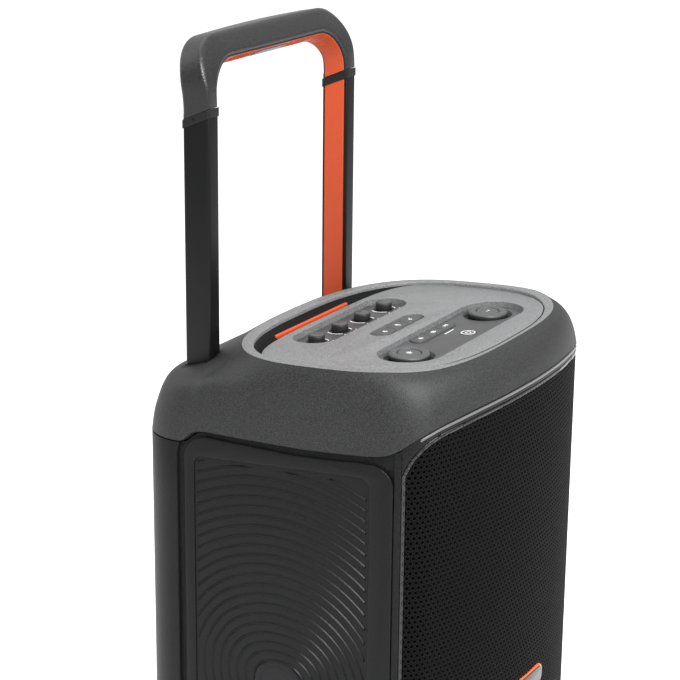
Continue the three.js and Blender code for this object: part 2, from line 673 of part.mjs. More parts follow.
place('control_board', block([-90, -96, 622], [90, 48, 624]), 0x1d5a34, 0.6);
[['upper', WOOFER.upperZ], ['lower', WOOFER.lowerZ]].forEach(([name, z]) => {
  place(`woofer_frame_${name}`, wooferFrame(z), DARK, 0.5, 0.6);
  place(`woofer_cone_${name}`, wooferCone(z), BLACK, 0.7);
});
sides.forEach(([side, name]) => {
  place(`side_wall_${name}`, sideWall(side), BLACK, 0.6);
  place(`side_panel_${name}`, sidePanel(side), DARK, 0.6);
  place(`tweeter_${name}`, tweeter(side), BLACK, 0.5);
  place(`guide_tube_${name}`, guideTube(side), 0x9a9da0, 0.4, 0.9);
  place(`handle_leg_${name}`, leg(side), BLACK, 0.4, 0.6);
  place(`leg_strip_${name}`, legStrip(side), ORANGE, 0.6);
  place(`leg_collar_${name}`, legCollar(side), BLACK, 0.5);
  place(`wheel_hub_${name}`, hub(side), DARK, 0.5);
  place(`wheel_tyre_${name}`, tyre(side), BLACK, 0.9);
  place(`front_foot_${name}`, foot(side), BLACK, 0.9);
});
const axleLength = 2 * (WHEEL.x + WHEEL.width / 2) - 4;
place('wheel_axle', rod(AXLE, axleLength, [0, WHEEL.y, WHEEL.z], 'x', 20), 0x9a9da0, 0.3, 1);
place('grip_shell', gripShell(), DARK, 0.5);
place('grip_insert', gripInsert(), ORANGE, 0.7);
place('release_button', releaseButton(), KNOB_GREY, 0.6);
const bent = ['grip_shell', 'grip_insert', 'release_button'].map((name) => cabinet.getObjectByName(name));
bent.forEach((mesh) => leanBack(mesh.geometry));
knobPlaces().slice(0, 4).forEach((at) => place(at.name, levelKnob(at), KNOB_GREY, 0.5));
knobPlaces().slice(4).forEach((at) => {
  place(at.name, dial(at), KNOB_GREY, 0.5);
  place(`${at.name}_button`, dialButton(at), KNOB_GREY, 0.6);
});
buttonPlaces().forEach((at) => place(at.name, pushButton(at), KNOB_GREY, 0.6));
place('power_button', rod(7, 2, [POWER.x, POWER.y, POWER.top], 'z', 28)
  .add(rod(2, 14, [POWER.x, POWER.y, POWER.top - 6], 'z', 12)), KNOB_GREY, 0.6);

export default cabinet;
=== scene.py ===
"""Party speaker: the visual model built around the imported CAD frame.

Shapes are worked out in the cabinet's own millimetres (x across, y front to back, z up from the floor)
and turned into metres in the part's frame by metres().
"""

from math import asin, atan2, cos, exp, hypot, pi, radians, sin, sqrt

import bmesh
import bpy
import numpy as np
from mathutils import Matrix, Vector


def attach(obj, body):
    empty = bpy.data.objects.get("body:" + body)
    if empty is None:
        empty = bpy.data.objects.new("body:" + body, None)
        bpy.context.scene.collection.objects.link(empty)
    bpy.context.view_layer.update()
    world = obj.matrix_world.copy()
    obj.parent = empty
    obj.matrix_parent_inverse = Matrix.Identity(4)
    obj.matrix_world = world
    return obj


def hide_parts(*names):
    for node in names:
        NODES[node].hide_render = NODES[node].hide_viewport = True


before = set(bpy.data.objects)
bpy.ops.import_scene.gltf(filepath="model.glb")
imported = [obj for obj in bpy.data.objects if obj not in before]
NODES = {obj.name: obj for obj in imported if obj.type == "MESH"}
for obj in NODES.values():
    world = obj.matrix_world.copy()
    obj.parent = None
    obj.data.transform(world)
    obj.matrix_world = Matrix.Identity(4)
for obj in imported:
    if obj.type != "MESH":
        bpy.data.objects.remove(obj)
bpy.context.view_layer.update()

# ---------- driving dimensions, mm ----------
WIDTH, DEPTH, HEIGHT = 332.0, 323.0, 666.0
Y_SHIFT = -29.1  # cabinet frame to part frame
FRONT_Y, REAR_Y = -DEPTH / 2, DEPTH / 2
FRONT_RADIUS, FRONT_CORNER, REAR_CORNER = 390.0, 40.0, 53.0
DECK_SLOPE, DECK_MID_Z, DECK_Y = 0.07, HEIGHT - 9.8, -22.0
GRILLE_SIDE_Y, GRILLE_LOW_Z = -116.0, 27.4
LEG_X, LEG_Y, LEG_W, LEG_D = 116.4, 113.8, 16.4, 27.6
SHELF_SLOPE = 0.42
COLLAR_Z = HEIGHT + 186
PLANE_Z = HEIGHT - 7.46  # deck plane over the middle of the deck
SPOKES = 480  # points of every ring round the deck's centre
SIDES = ((-1, "left"), (1, "right"))
QUARTER = pi / 2

# ---------- camera, floor and light ----------
CAMERA_PLACE, CAMERA_LENS = (-1.5933, -0.9350, 1.2192), 111.23  # metres, mm
CAMERA_ANGLES = (30.707, 17.557, 0.574)  # azimuth, pitch and roll in degrees
LIGHTS = (  # name, place and size in metres, watts
    ("top_light", (0.3, 0.6, 2.8), (2.0, 1.6), 16),
    ("shoulder_light", (-1.0, -1.25, 2.5), (0.9, 0.8), 85),
    ("front_light", (-0.25, -2.3, 2.1), (1.7, 1.1), 55),
    ("left_light", (-2.6, 0.3, 1.0), (0.5, 1.6), 3),
    ("rear_light", (-0.4, 2.6, 1.7), (1.5, 1.5), 14),
)
LIGHT_TARGET = Vector((0, 0, 0.5))
SCENE = bpy.context.scene
FLOOR_HALF = 25


def metres(point):
    x, y, z = point
    return (x * 0.001, (y + Y_SHIFT) * 0.001, z * 0.001)


def add_object(name, data):
    thing = bpy.data.objects.new(name, data)
    SCENE.collection.objects.link(thing)
    return thing


def add_node(tree, kind, values=()):
    node = tree.nodes.new(f"ShaderNode{kind}")
    for key, value in dict(values).items():
        node.inputs[key].default_value = value
    return node


def join(tree, links):
    """Each link goes from a node's output to another node's input."""
    for source, output, target, socket in links:
        tree.links.new(source.outputs[output], target.inputs[socket])


def camera():
    azimuth, pitch, roll = (radians(angle) for angle in CAMERA_ANGLES)
    level = cos(pitch)
    forward = Vector((cos(azimuth) * level, sin(azimuth) * level, -sin(pitch)))
    data = bpy.data.cameras.new("camera")
    data.sensor_width = 36.0
    data.lens = CAMERA_LENS
    data.clip_start, data.clip_end = 0.05, 50.0
    view = add_object("camera", data)
    turn = forward.to_track_quat("-Z", "Y").to_matrix().to_4x4() @ Matrix.Rotation(roll, 4, "Z")
    view.matrix_world = Matrix.Translation(CAMERA_PLACE) @ turn
    SCENE.camera = view


def softbox(name, place, size, power):
    data = bpy.data.lights.new(name, "AREA")
    data.shape = "RECTANGLE"
    data.size, data.size_y = size
    data.energy = power
    lamp = add_object(name, data)
    lamp.location = place
    lamp.rotation_euler = (LIGHT_TARGET - Vector(place)).to_track_quat("-Z", "Y").to_euler()


def studio():
    """Soft lights, a sky that brightens upwards and a white floor."""
    for row in LIGHTS:
        softbox(*row)
    world = bpy.data.worlds.new("studio")
    world.use_nodes = True
    tree = world.node_tree
    background = tree.nodes["Background"]
    place = add_node(tree, "TexCoord")
    parts = add_node(tree, "SeparateXYZ")
    ramp = add_node(tree, "MapRange", {"From Min": 0.0, "From Max": 0.9, "To Min": 0.5, "To Max": 1.45})
    join(tree, ((place, "Generated", parts, "Vector"), (parts, "Z", ramp, "Value"),
                (ramp, "Result", background, "Strength")))
    background.inputs["Color"].default_value = (1.0, 1.0, 1.0, 1.0)
    SCENE.world = world
    corners = [(x * FLOOR_HALF, y * FLOOR_HALF, 0) for x, y in ((-1, -1), (1, -1), (1, 1), (-1, 1))]
    floor = mesh_object("floor", corners, [(0, 1, 2, 3)], scaled=True)
    floor.data.materials.append(surface("floor_paper", (0.93, 0.93, 0.93), 0.9, 0.01, 300, 0.1))


# ---------- materials ----------
def two_tones(tree, low, high, low_at=0.0, high_at=1.0):
    ramp = add_node(tree, "ValToRGB")
    for stop, color, place in zip(ramp.color_ramp.elements, (low, high), (low_at, high_at)):
        stop.position = place
        stop.color = (*color, 1)
    return ramp


def surface(name, color, rough, grain, scale, bump, spec=0.5, metal=0.0):
    """A speckled surface: colour, roughness and fine relief (in mm) vary together over the object."""
    mat = bpy.data.materials.new(name)
    mat.use_nodes = True
    tree = mat.node_tree
    shader = tree.nodes["Principled BSDF"]
    shader.inputs["Metallic"].default_value = metal
    shader.inputs["Specular IOR Level"].default_value = spec
    place = add_node(tree, "TexCoord")
    fine = add_node(tree, "TexNoise", {"Scale": scale, "Detail": 2.0, "Roughness": 0.6})
    broad = add_node(tree, "TexNoise", {"Scale": 9.0, "Detail": 3.0})
    dark, bright = ([c * (1 + change) for c in color] for change in (-grain, grain))
    speckle = two_tones(tree, dark, bright, 0.36, 0.64)
    shade = two_tones(tree, (0.93, 0.93, 0.93), (1, 1, 1))
    tone = add_node(tree, "Mix")
    tone.data_type = "RGBA"
    tone.blend_type = "MULTIPLY"
    tone.inputs["Factor"].default_value = 1.0
    spread = add_node(tree, "MapRange", {"To Min": rough - 0.08, "To Max": rough + 0.08})
    relief = add_node(tree, "Bump", {"Strength": 0.6, "Distance": bump * 0.001})
    join(tree, ((place, "Object", fine, "Vector"), (place, "Object", broad, "Vector"),
                (fine, "Fac", speckle, "Fac"), (broad, "Fac", shade, "Fac"),
                (speckle, "Color", tone, "A"), (shade, "Color", tone, "B"),
                (tone, "Result", shader, "Base Color"), (spread, "Result", shader, "Roughness"),
                (fine, "Fac", spread, "Value"),
                (fine, "Fac", relief, "Height"), (relief, "Normal", shader, "Normal")))
    return mat


CAP = surface("speckled_cap", (0.0125, 0.0127, 0.0132), 0.54, 0.6, 800, 0.3, 0.3)
DECK = surface("speckled_deck", (0.112, 0.1135, 0.115), 0.45, 0.36, 760, 0.4, 0.4)
POCKET = surface("pocket_grey", (0.04, 0.0405, 0.0415), 0.48, 0.14, 1300, 0.2, 0.35)
BLACK = surface("black_plastic", (0.008, 0.008, 0.009), 0.5, 0.3, 1200, 0.3, 0.15)
BODY = surface("body_plastic", (0.0065, 0.0066, 0.0069), 0.44, 0.4, 700, 0.4, 0.11)
ORANGE = surface("orange_rubber", (0.39, 0.048, 0.010), 0.55, 0.08, 1400, 0.2, 0.3)
GLOSS = surface("gloss_black", (0.006, 0.006, 0.007), 0.2, 0.1, 1200, 0.1, 0.4)
BADGE = surface("badge_orange", (0.62, 0.10, 0.015), 0.35, 0.06, 1200, 0.1)
SLOT = surface("slot_black", (0.003, 0.003, 0.0032), 0.6, 0.3, 1200, 0.2, 0.08)
GRIP = surface("speckled_grip", (0.0065, 0.0066, 0.007), 0.3, 0.7, 800, 0.5, 0.42)
METAL = surface("black_metal", (0.0038, 0.0039, 0.004), 0.32, 0.15, 1500, 0.1, 0.16)
SIDE = surface("side_plastic", (0.0046, 0.0047, 0.0049), 0.34, 0.3, 800, 0.3, 0.13)
GRILLE = surface("grille_metal", (0.0032, 0.0032, 0.0034), 0.6, 0.1, 1500, 0.1, 0.05)
# painted shade: a near-black backing behind the grille holes stands in for the shade inside the cabinet
SHADE_BACKING = surface("grille_shade_backing", (0.002, 0.002, 0.002), 0.9, 0.3, 1500, 0.2, 0.05)
KNOB = surface("knob_plastic", (0.042, 0.0425, 0.0435), 0.42, 0.08, 1500, 0.1, 0.4)
KNOB_SIDE = surface("knob_side", (0.011, 0.0112, 0.0118), 0.45, 0.15, 1500, 0.1, 0.3)
LIGHT = surface("light_strip", (0.085, 0.0855, 0.087), 0.35, 0.04, 900, 0.1)
WHITE = surface("mark_white", (0.62, 0.62, 0.62), 0.5, 0.03, 1500, 0.1, 0.3)
STEEL = surface("bare_steel", (0.35, 0.355, 0.36), 0.3, 0.06, 1200, 0.1, metal=1.0)
TYRE = surface("tyre_rubber", (0.012, 0.012, 0.012), 0.75, 0.25, 900, 0.3, 0.2)
DRIVER = surface("driver_frame", (0.03, 0.03, 0.032), 0.4, 0.1, 1200, 0.1, metal=0.6)
PAPER = surface("cone_paper", (0.012, 0.012, 0.013), 0.85, 0.3, 700, 0.3, 0.2)
TWEETER = surface("tweeter_plastic", (0.01, 0.01, 0.011), 0.5, 0.2, 1200, 0.2, 0.3)
SHEET = surface("inner_metal", (0.42, 0.43, 0.44), 0.35, 0.08, 1000, 0.1, metal=1.0)
BOARD = surface("board_green", (0.012, 0.09, 0.03), 0.5, 0.25, 600, 0.2)
WRAP = surface("battery_wrap", (0.03, 0.032, 0.036), 0.5, 0.15, 900, 0.2)


# ---------- mesh helpers ----------
def mesh_object(name, verts, faces, scaled=False, smooth=True):
    """A mesh from points in the cabinet's millimetres, or in metres where they are already scaled."""
    data = bpy.data.meshes.new(name)
    data.from_pydata(verts if scaled else [metres(v) for v in verts], [], faces)
    data.update()
    if smooth:
        data.polygons.foreach_set("use_smooth", [True] * len(data.polygons))
    return add_object(name, data)


def apply_modifiers(thing):
    bpy.context.view_layer.update()
    evaluated = thing.evaluated_get(bpy.context.evaluated_depsgraph_get())
    data = bpy.data.meshes.new_from_object(evaluated)
    thing.modifiers.clear()
    thing.data = data


def edit_mesh(thing, work):
    bm = bmesh.new()
    bm.from_mesh(thing.data)
    work(bm)
    bm.to_mesh(thing.data)
    bm.free()


def face_outwards(thing):
    edit_mesh(thing, lambda bm: bmesh.ops.recalc_face_normals(bm, faces=bm.faces))


def sharp_by_angle(thing, degrees):
    """Shades smoothly over every edge that bends less than an angle."""
    limit = radians(degrees)

    def mark(bm):
        for edge in bm.edges:
            edge.smooth = len(edge.link_faces) == 2 and edge.calc_face_angle(0) < limit
        for face in bm.faces:
            face.smooth = True

    edit_mesh(thing, mark)


def finish_solid(thing, width, segments=3, degrees=40):
    """Rounds the edges that bend more than an angle, by a width in mm."""
    mod = thing.modifiers.new("bevel", "BEVEL")
    mod.width = width * 0.001
    mod.segments = segments
    mod.limit_method = "ANGLE"
    mod.angle_limit = radians(degrees)
    apply_modifiers(thing)
    sharp_by_angle(thing, 50)


def cut(thing, cutters):
    for cutter in cutters:
        mod = thing.modifiers.new("cut", "BOOLEAN")
        mod.operation = "DIFFERENCE"
        mod.solver = "EXACT"
        mod.object = cutter
    apply_modifiers(thing)
    for cutter in cutters:
        bpy.data.objects.remove(cutter)


def thicken(thing, thickness):
    mod = thing.modifiers.new("thick", "SOLIDIFY")
    mod.thickness = thickness * 0.001
    apply_modifiers(thing)


def loft(name, rings, ends=True, loop=False, open_ring=False, outwards=False):
    """A skin over rings of equal length; a closed loop joins the last ring to the first."""
    count = len(rings[0])
    faces = []
    for level in range(len(rings) if loop else len(rings) - 1):
        here, there = level * count, ((level + 1) % len(rings)) * count
        for i in range(count - 1 if open_ring else count):
            j = (i + 1) % count
            faces.append((here + i, here + j, there + j, there + i))
    if ends and not loop:
        faces.append(tuple(reversed(range(count))))
        faces.append(tuple(range((len(rings) - 1) * count, len(rings) * count)))
    thing = mesh_object(name, [p for ring in rings for p in ring], faces)
    if outwards:
        face_outwards(thing)
    return thing


def prism(name, outline, low, high):
    """An outline of (x, y) between two heights; a height may be a function of y."""
    at = lambda value, y: value(y) if callable(value) else value
    return loft(name, [[(x, y, at(h, y)) for x, y in outline] for h in (low, high)])


def side_solid(name, outline, side, near, far):
    """An outline of (y, z) between two distances from the middle, on one side of the cabinet."""
    return loft(name, [[(side * x, y, z) for y, z in outline] for x in (near, far)], outwards=True)


def box_solid(low, high):
    (x0, y0, z0), (x1, y1, z1) = low, high
    return prism("block", [(x0, y0), (x1, y0), (x1, y1), (x0, y1)], z0, z1)


def y_rod(name, radius, x, y, z, length, steps=48):
    ends = (y - length / 2, y + length / 2)
    circle = arc(x, z, radius, 0, 2 * pi, steps)[:-1]
    return loft(name, [[(px, end, pz) for px, pz in circle] for end in ends], outwards=True)


def revolve(name, profile, centre, axis="z", sides=64, scallop=None):
    """Turns a closed profile of (radius, height) points about an axis through centre."""
    rings = []
    for k in range(sides):
        angle = 2 * pi * k / sides
        c, s = cos(angle), sin(angle)
        ring = []
        for radius, height in profile:
            r = scallop(radius, height, angle) if scallop else radius
            steps = {"x": (height, r * c, r * s), "y": (r * s, height, r * c), "z": (r * c, r * s, height)}
            ring.append([p + d for p, d in zip(centre, steps[axis])])
        rings.append(ring)
    thing = loft(name, rings, loop=True)
    edit_mesh(thing, lambda bm: bmesh.ops.remove_doubles(bm, verts=bm.verts, dist=1e-6))
    face_outwards(thing)
    return thing


def arc(cx, cy, radius, start, end, steps):
    turns = [start + (end - start) * i / steps for i in range(steps + 1)]
    return [(cx + radius * cos(t), cy + radius * sin(t)) for t in turns]


def stadium(half_x, half_y, y, x=0.0, steps=24):
    right = arc(x + half_x - half_y, y, half_y, -QUARTER, QUARTER, steps)
    return right + arc(x - half_x + half_y, y, half_y, QUARTER, 3 * QUARTER, steps)


def rounded(half_x, half_y, radius, x=0.0, y=0.0, steps=8):
    points = []
    for sx, sy, turn in ((1, -1, -1), (1, 1, 0), (-1, 1, 1), (-1, -1, 2)):
        cx, cy = x + sx * (half_x - radius), y + sy * (half_y - radius)
        points += arc(cx, cy, radius, turn * QUARTER, (turn + 1) * QUARTER, steps)
    return points


def dress(thing, material, body="cabinet", replaces=None, sharp=None):
    if sharp:
        sharp_by_angle(thing, sharp)
    thing.data.materials.clear()
    thing.data.materials.append(material)
    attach(thing, body)
    if replaces:
        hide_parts(*replaces)


# ---------- outlines seen from above ----------
CORNER_X = WIDTH / 2 - FRONT_CORNER
ARC_Y = FRONT_Y + FRONT_RADIUS
CORNER_Y = ARC_Y - sqrt((FRONT_RADIUS - FRONT_CORNER) ** 2 - CORNER_X**2)
ARC_HALF = asin(CORNER_X / (FRONT_RADIUS - FRONT_CORNER))
RAYS = [(cos(t), sin(t)) for t in ((i + 0.5) / SPOKES * 2 * pi for i in range(SPOKES))]


def cabinet_outline(inset=0.0, steps=64):
    corner, rear = FRONT_CORNER - inset, REAR_CORNER - inset
    rear_x, rear_y = WIDTH / 2 - REAR_CORNER, REAR_Y - REAR_CORNER
    points = arc(0, ARC_Y, FRONT_RADIUS - inset, -QUARTER - ARC_HALF, ARC_HALF - QUARTER, steps * 2)
    points += arc(CORNER_X, CORNER_Y, corner, ARC_HALF - QUARTER, 0, steps)
    points += arc(rear_x, rear_y, rear, 0, QUARTER, steps)
    points += arc(-rear_x, rear_y, rear, QUARTER, pi, steps)
    return points + arc(-CORNER_X, CORNER_Y, corner, pi, 3 * QUARTER - ARC_HALF, steps)


def spokes(outline):
    """Where rays from the deck's centre meet an outline."""
    pts = np.array(outline)
    a = pts - (0, DECK_Y)
    e = np.roll(pts, -1, axis=0) - pts
    ring = []
    for c, s in RAYS:
        across = c * e[:, 1] - s * e[:, 0]
        across[np.abs(across) <= 1e-9] = np.inf
        far = (a[:, 0] * e[:, 1] - a[:, 1] * e[:, 0]) / across
        along = (a[:, 0] * s - a[:, 1] * c) / across
        reach = far[(far > 0) & (along >= -1e-6) & (along <= 1 + 1e-6)].max()
        ring.append((c * reach, DECK_Y + s * reach))
    return ring


def super_ring(half_x, front, rear, front_power, rear_power):
    """A closed curve round the deck's centre, squarer or rounder at the front and the rear."""
    ring = []
    for c, s in RAYS:
        power, half_y = (front_power, front) if s < 0 else (rear_power, rear)
        reach = (abs(c / half_x) ** power + abs(s / half_y) ** power) ** (-1 / power)
        ring.append((c * reach, DECK_Y + s * reach))
    return ring


def smooth(value, low, high):
    t = min(1.0, max(0.0, (value - low) / (high - low)))
    return t * t * (3 - 2 * t)


def deck_z(y):
    return DECK_MID_Z - DECK_SLOPE * y


def below(depth):
    """The height at a depth under the deck's surface, as a function of y."""
    return lambda y: deck_z(y) - depth


def rim_z(y):
    """The rim round the deck stands above it at the sides and rear and fades out at the front."""
    return deck_z(y) + 3.0 * smooth(y, -132, -84)


SEAM_TABLE = (  # y, height over the deck plane: climbs over the front, steps down behind the side panel
    (-170, -24.6), (-161.5, -24.6), (-160.3, -25.4), (-150.5, -29.0), (-138, -35.0), (-132, -39.4),
    (-124, -45.4), (-119, -49.4), (-115, -53.0), (-108, -56.9), (-97, -60.5), (-84, -62.9), (-50, -66.5),
    (-17.6, -69.2), (45, -71.8), (60, -72.1), (80, -72.8), (86, -73.8), (92, -75.8), (96.5, -78.8),
    (100, -82.6), (102.5, -85), (106, -86.4), (112, -86.8), (140, -88.5), (175, -91.3))
SEAM_Y = np.linspace(-170, 175, 691)
SEAM_Z = PLANE_Z + np.interp(SEAM_Y, *zip(*SEAM_TABLE))
SEAM_Z[4:-4] = np.convolve(SEAM_Z, np.ones(9) / 9, "valid")


def seam_z(y):
    return float(np.interp(y, SEAM_Y, SEAM_Z))


def blend_points(table, t):
    """Smooth curve through (x, y) rows at even steps (Catmull-Rom)."""
    n = len(table) - 1
    k = min(int(t * n), n - 1)
    u = t * n - k
    p = [np.array(table[min(max(k + d, 0), n)], float) for d in (-1, 0, 1, 2)]
    return 0.5 * (2 * p[1] + (p[2] - p[0]) * u + (2 * p[0] - 5 * p[1] + 4 * p[2] - p[3]) * u**2
                  + (3 * p[1] - p[0] - 3 * p[2] + p[3]) * u**3)


# ---------- cap and deck ----------
CAP_SIDE = ((0, 0), (0.34, 0.12), (0.64, 0.34), (0.86, 0.64), (1, 1))
CAP_REAR = ((0, 0), (0.45, 0.24), (0.8, 0.4), (0.95, 0.72), (1, 1))
CAP_LEVELS, CAP_STEPS = 26, 60
RIM_OUTER = super_ring(half_x=155.0, front=117.0, rear=119.0, front_power=3.1, rear_power=2.7)
RIM_INNER = super_ring(half_x=146.5, front=112.5, rear=106.0, front_power=2.8, rear_power=2.8)
PLATE = super_ring(half_x=145.6, front=111.9, rear=80.5, front_power=2.8, rear_power=4.2)
CABINET = spokes(cabinet_outline())
CABINET_INSIDE = spokes(cabinet_outline(5))
KNOB_Y, KNOB_TOP, KNOB_R, KNOB_H = 28.8, HEIGHT - 9.2, 7.7, 7.8
KNOB_XS = (-60.6, -20.2, 20.2, 60.6)
DIAL_X, DIAL_Y, DIAL_TOP, DIAL_R, DIAL_H, WELL_R = 74.5, -73.6, HEIGHT - 4.6, 18.5, 6.0, 22.6
DIAL_HOLE, PUSH_R, WELL_DEPTH = 10.9, 10.4, 8.4
POWER_X, POWER_Y = 12.0, -86.0
BUTTON_XS, BUTTON_HALF = (-23.0, 0.0, 23.0), 10.6
REAR_ROW_Y, FRONT_ROW_Y = -20.0, -57.0
POCKETS = (  # half length, half width, y, depth below the deck's surface
    (82.0, 21.5, 29.0, 5.5),
    (106.0, 30.0, -76.5, 4.7),
    (39.5, 10.5, REAR_ROW_Y, 2.4),
)
PAD_RISE = 0.5  # the pads' thickness over the pocket floors
SLOT_FLOOR, SLOT_PAD_Y = 9.5, 71.0
CUT_LOW, CUT_HIGH = 600, 700  # heights where a cutter has left the deck on both sides
RIM_HALF_X, RIM_HALF_Y = 150, 115


def leg_outline(side, grow, radius):
    return rounded(LEG_W / 2 + grow, LEG_D / 2 + grow, radius, side * LEG_X, LEG_Y)


def cap_point(t, edge, foot):
    """A share of the way out, and the cap's height there, from the same two curves all round."""
    side, rear = blend_points(CAP_SIDE, t), blend_points(CAP_REAR, t)
    out, fall = side + (rear - side) * smooth(edge[1], 0, 70)
    top = rim_z(edge[1])
    return out, top + (seam_z(foot[1]) + 0.6 - top) * fall


def cap_ring(t):
    ring = []
    for edge, foot in zip(RIM_OUTER, CABINET):
        out, z = cap_point(t, edge, foot)
        ring.append((edge[0] + (foot[0] - edge[0]) * out, edge[1] + (foot[1] - edge[1]) * out, z))
    return ring


def cap_surface(x, y):
    """Height of the cap over a point outside the deck."""
    index = int(atan2(y - DECK_Y, x) / (2 * pi) % 1 * SPOKES) % SPOKES
    edge, foot = RIM_OUTER[index], CABINET[index]
    past = hypot(x, y - DECK_Y) - hypot(edge[0], edge[1] - DECK_Y)
    reach = past / hypot(foot[0] - edge[0], foot[1] - edge[1])
    for k in range(CAP_STEPS + 1):
        out, z = cap_point(k / CAP_STEPS, edge, foot)
        if out >= reach:
            break
    return z


def top_cap():
    inside = [(x, y, seam_z(fy) + 1.0) for (x, y), (_, fy) in zip(CABINET_INSIDE, CABINET)]
    lip = [(x, y, seam_z(y) - 0.2) for x, y in spokes(cabinet_outline(0.9))]
    rings = [cap_ring(1 - k / CAP_LEVELS) for k in range(CAP_LEVELS + 1)]
    edge_in = [(x * 0.997, DECK_Y + (y - DECK_Y) * 0.997, rim_z(y) - 1.2) for x, y in RIM_OUTER]
    under = [(x, y, rim_z(y) - 6) for x, y in super_ring(150, 112, 114, 3.1, 2.7)]
    cap = loft("cap_skin", [inside, lip] + rings + [edge_in, under], loop=True)
    cut(cap, [prism("leg_cut", leg_outline(side, 0.9, 3.2), 560, CUT_HIGH) for side, _ in SIDES])
    dress(cap, CAP, replaces=["top_cap"], sharp=38)


def deck_rim():
    rings = [[(x, y, deck_z(y) - 8) for x, y in RIM_INNER]]
    for ring, grow, rise in ((RIM_INNER, 0.0, -1.3), (RIM_INNER, 0.35, -0.35), (RIM_INNER, 1.3, 0.0),
                             (RIM_OUTER, -1.6, 0.15), (RIM_OUTER, -0.3, -0.05), (RIM_OUTER, -0.7, -8)):
        wide, deep = 1 + grow / RIM_HALF_X, 1 + grow / RIM_HALF_Y
        spots = [(x * wide, DECK_Y + (y - DECK_Y) * deep) for x, y in ring]
        rings.append([(x, y, rim_z(y) + rise) for x, y in spots])
    dress(loft("deck_rim", rings, loop=True), DECK, sharp=60)


def control_wells():
    """Outline and floor height of each opening that a knob, dial or button sinks into."""
    wells = [(stadium(WELL_R, WELL_R, DIAL_Y, side * DIAL_X), DIAL_TOP - WELL_DEPTH) for side, _ in SIDES]
    gap = KNOB_R + 0.4
    wells += [(stadium(gap, gap, KNOB_Y, x), KNOB_TOP - KNOB_H - 0.6) for x in KNOB_XS]
    for y, half_y, depth in ((REAR_ROW_Y, 7.4, 5), (FRONT_ROW_Y, 6.0, 8)):
        wells += [(rounded(BUTTON_HALF + 0.4, half_y, 4.6, x, y), below(depth)) for x in BUTTON_XS]
    return wells + [(stadium(7.6, 7.6, POWER_Y, POWER_X), below(8))]


def deck_plate():
    plate = prism("deck_plate", PLATE, below(12), deck_z)
    cut(plate, [prism("pocket", stadium(half_x, half_y, y), below(depth), HEIGHT + 20)
                for half_x, half_y, y, depth in POCKETS])
    cut(plate, [prism("well", outline, low, HEIGHT + 20) for outline, low in control_wells()])
    finish_solid(plate, 1.1, 3, 50)
    dress(plate, DECK, replaces=["control_deck"])


def pocket_floors():
    """Darker pads that line the pockets."""
    for index, (half_x, half_y, y, depth) in enumerate(POCKETS):
        outline = stadium(half_x - 1.0, half_y - 1.0, y)
        pad = prism(f"pocket_pad_{index + 1}", outline, below(depth + 0.4), below(depth - PAD_RISE))
        cut(pad, [prism("hole", well, CUT_LOW, CUT_HIGH) for well, _ in control_wells()])
        finish_solid(pad, 0.4, 2)
        dress(pad, POCKET)


def bar(x0, y0, x1, y1, width=0.6):
    """Outline of a stroke between two points."""
    length = hypot(x1 - x0, y1 - y0)
    nx, ny = -(y1 - y0) / length * width / 2, (x1 - x0) / length * width / 2
    return [(x0 + nx, y0 + ny), (x0 - nx, y0 - ny), (x1 - nx, y1 - ny), (x1 + nx, y1 + ny)]


def bow(x, y, radius, start, end, width=0.6, steps=16):
    """Outline of a curved stroke between two angles in degrees."""
    a, b = radians(start), radians(end)
    return arc(x, y, radius + width / 2, a, b, steps) + arc(x, y, radius - width / 2, b, a, steps)


def ring_strokes(x, y, radius, width=0.6):
    return [bow(x, y, radius, 0, 180, width), bow(x, y, radius, 180, 360, width)]


def ray_stroke(angle, near, far):
    c, s = cos(angle), sin(angle)
    return bar(near * c, near * s, far * c, far * s)


SIGNS = {
    "voice": [stadium(1.2, 1.2, 0.9), bow(0, 0.7, 2.3, 200, 340), bar(0, -1.7, 0, -2.9)],
    "echo": [bow(-2, 0, r, -55, 55) for r in (1.2, 2.6, 4.0)],
    "guitar": ring_strokes(-0.9, -1.0, 1.5) + [bar(0.2, 0.1, 2.6, 2.6)],
    "bass": [bar(x, -half, x, half, 0.8) for x, half in ((-1.8, 1.2), (0, 2.4), (1.8, 1.2))],
    "link": ring_strokes(-1.2, 0, 1.6) + ring_strokes(1.2, 0, 1.6),
    "play": [[(-2.6, -1.8), (0.4, 0), (-2.6, 1.8)]] + [bar(x, -1.7, x, 1.7, 0.8) for x in (1.4, 2.8)],
    "light": ring_strokes(0, 0, 1.1) + [ray_stroke(k * pi / 4, 1.9, 2.9) for k in range(8)],
    "volume": [bar(-2.6, 0, -0.6, 0), bar(0.8, 0, 3.2, 0), bar(2, -1.2, 2, 1.2)],
    "power": [bow(0, 0, 2.5, 125, 415), bar(0, 0.8, 0, 3.2)],
}


def marks(name, outlines, x, y, height, material, body="cabinet"):
    """Printed signs as one thin raised piece; height is the surface they lie on, a function of y."""
    verts, faces = [], []
    for outline in outlines:
        start, n = len(verts), len(outline)
        for lift in (-0.2, 0.12):
            verts += [(x + px, y + py, height(y + py) + lift) for px, py in outline]
        faces += [(start + i, start + (i + 1) % n, start + n + (i + 1) % n, start + n + i) for i in range(n)]
        faces += [tuple(reversed(range(start, start + n))), tuple(range(start + n, start + 2 * n))]
    sign = mesh_object(name, verts, faces, smooth=False)
    face_outwards(sign)
    dress(sign, material, body)


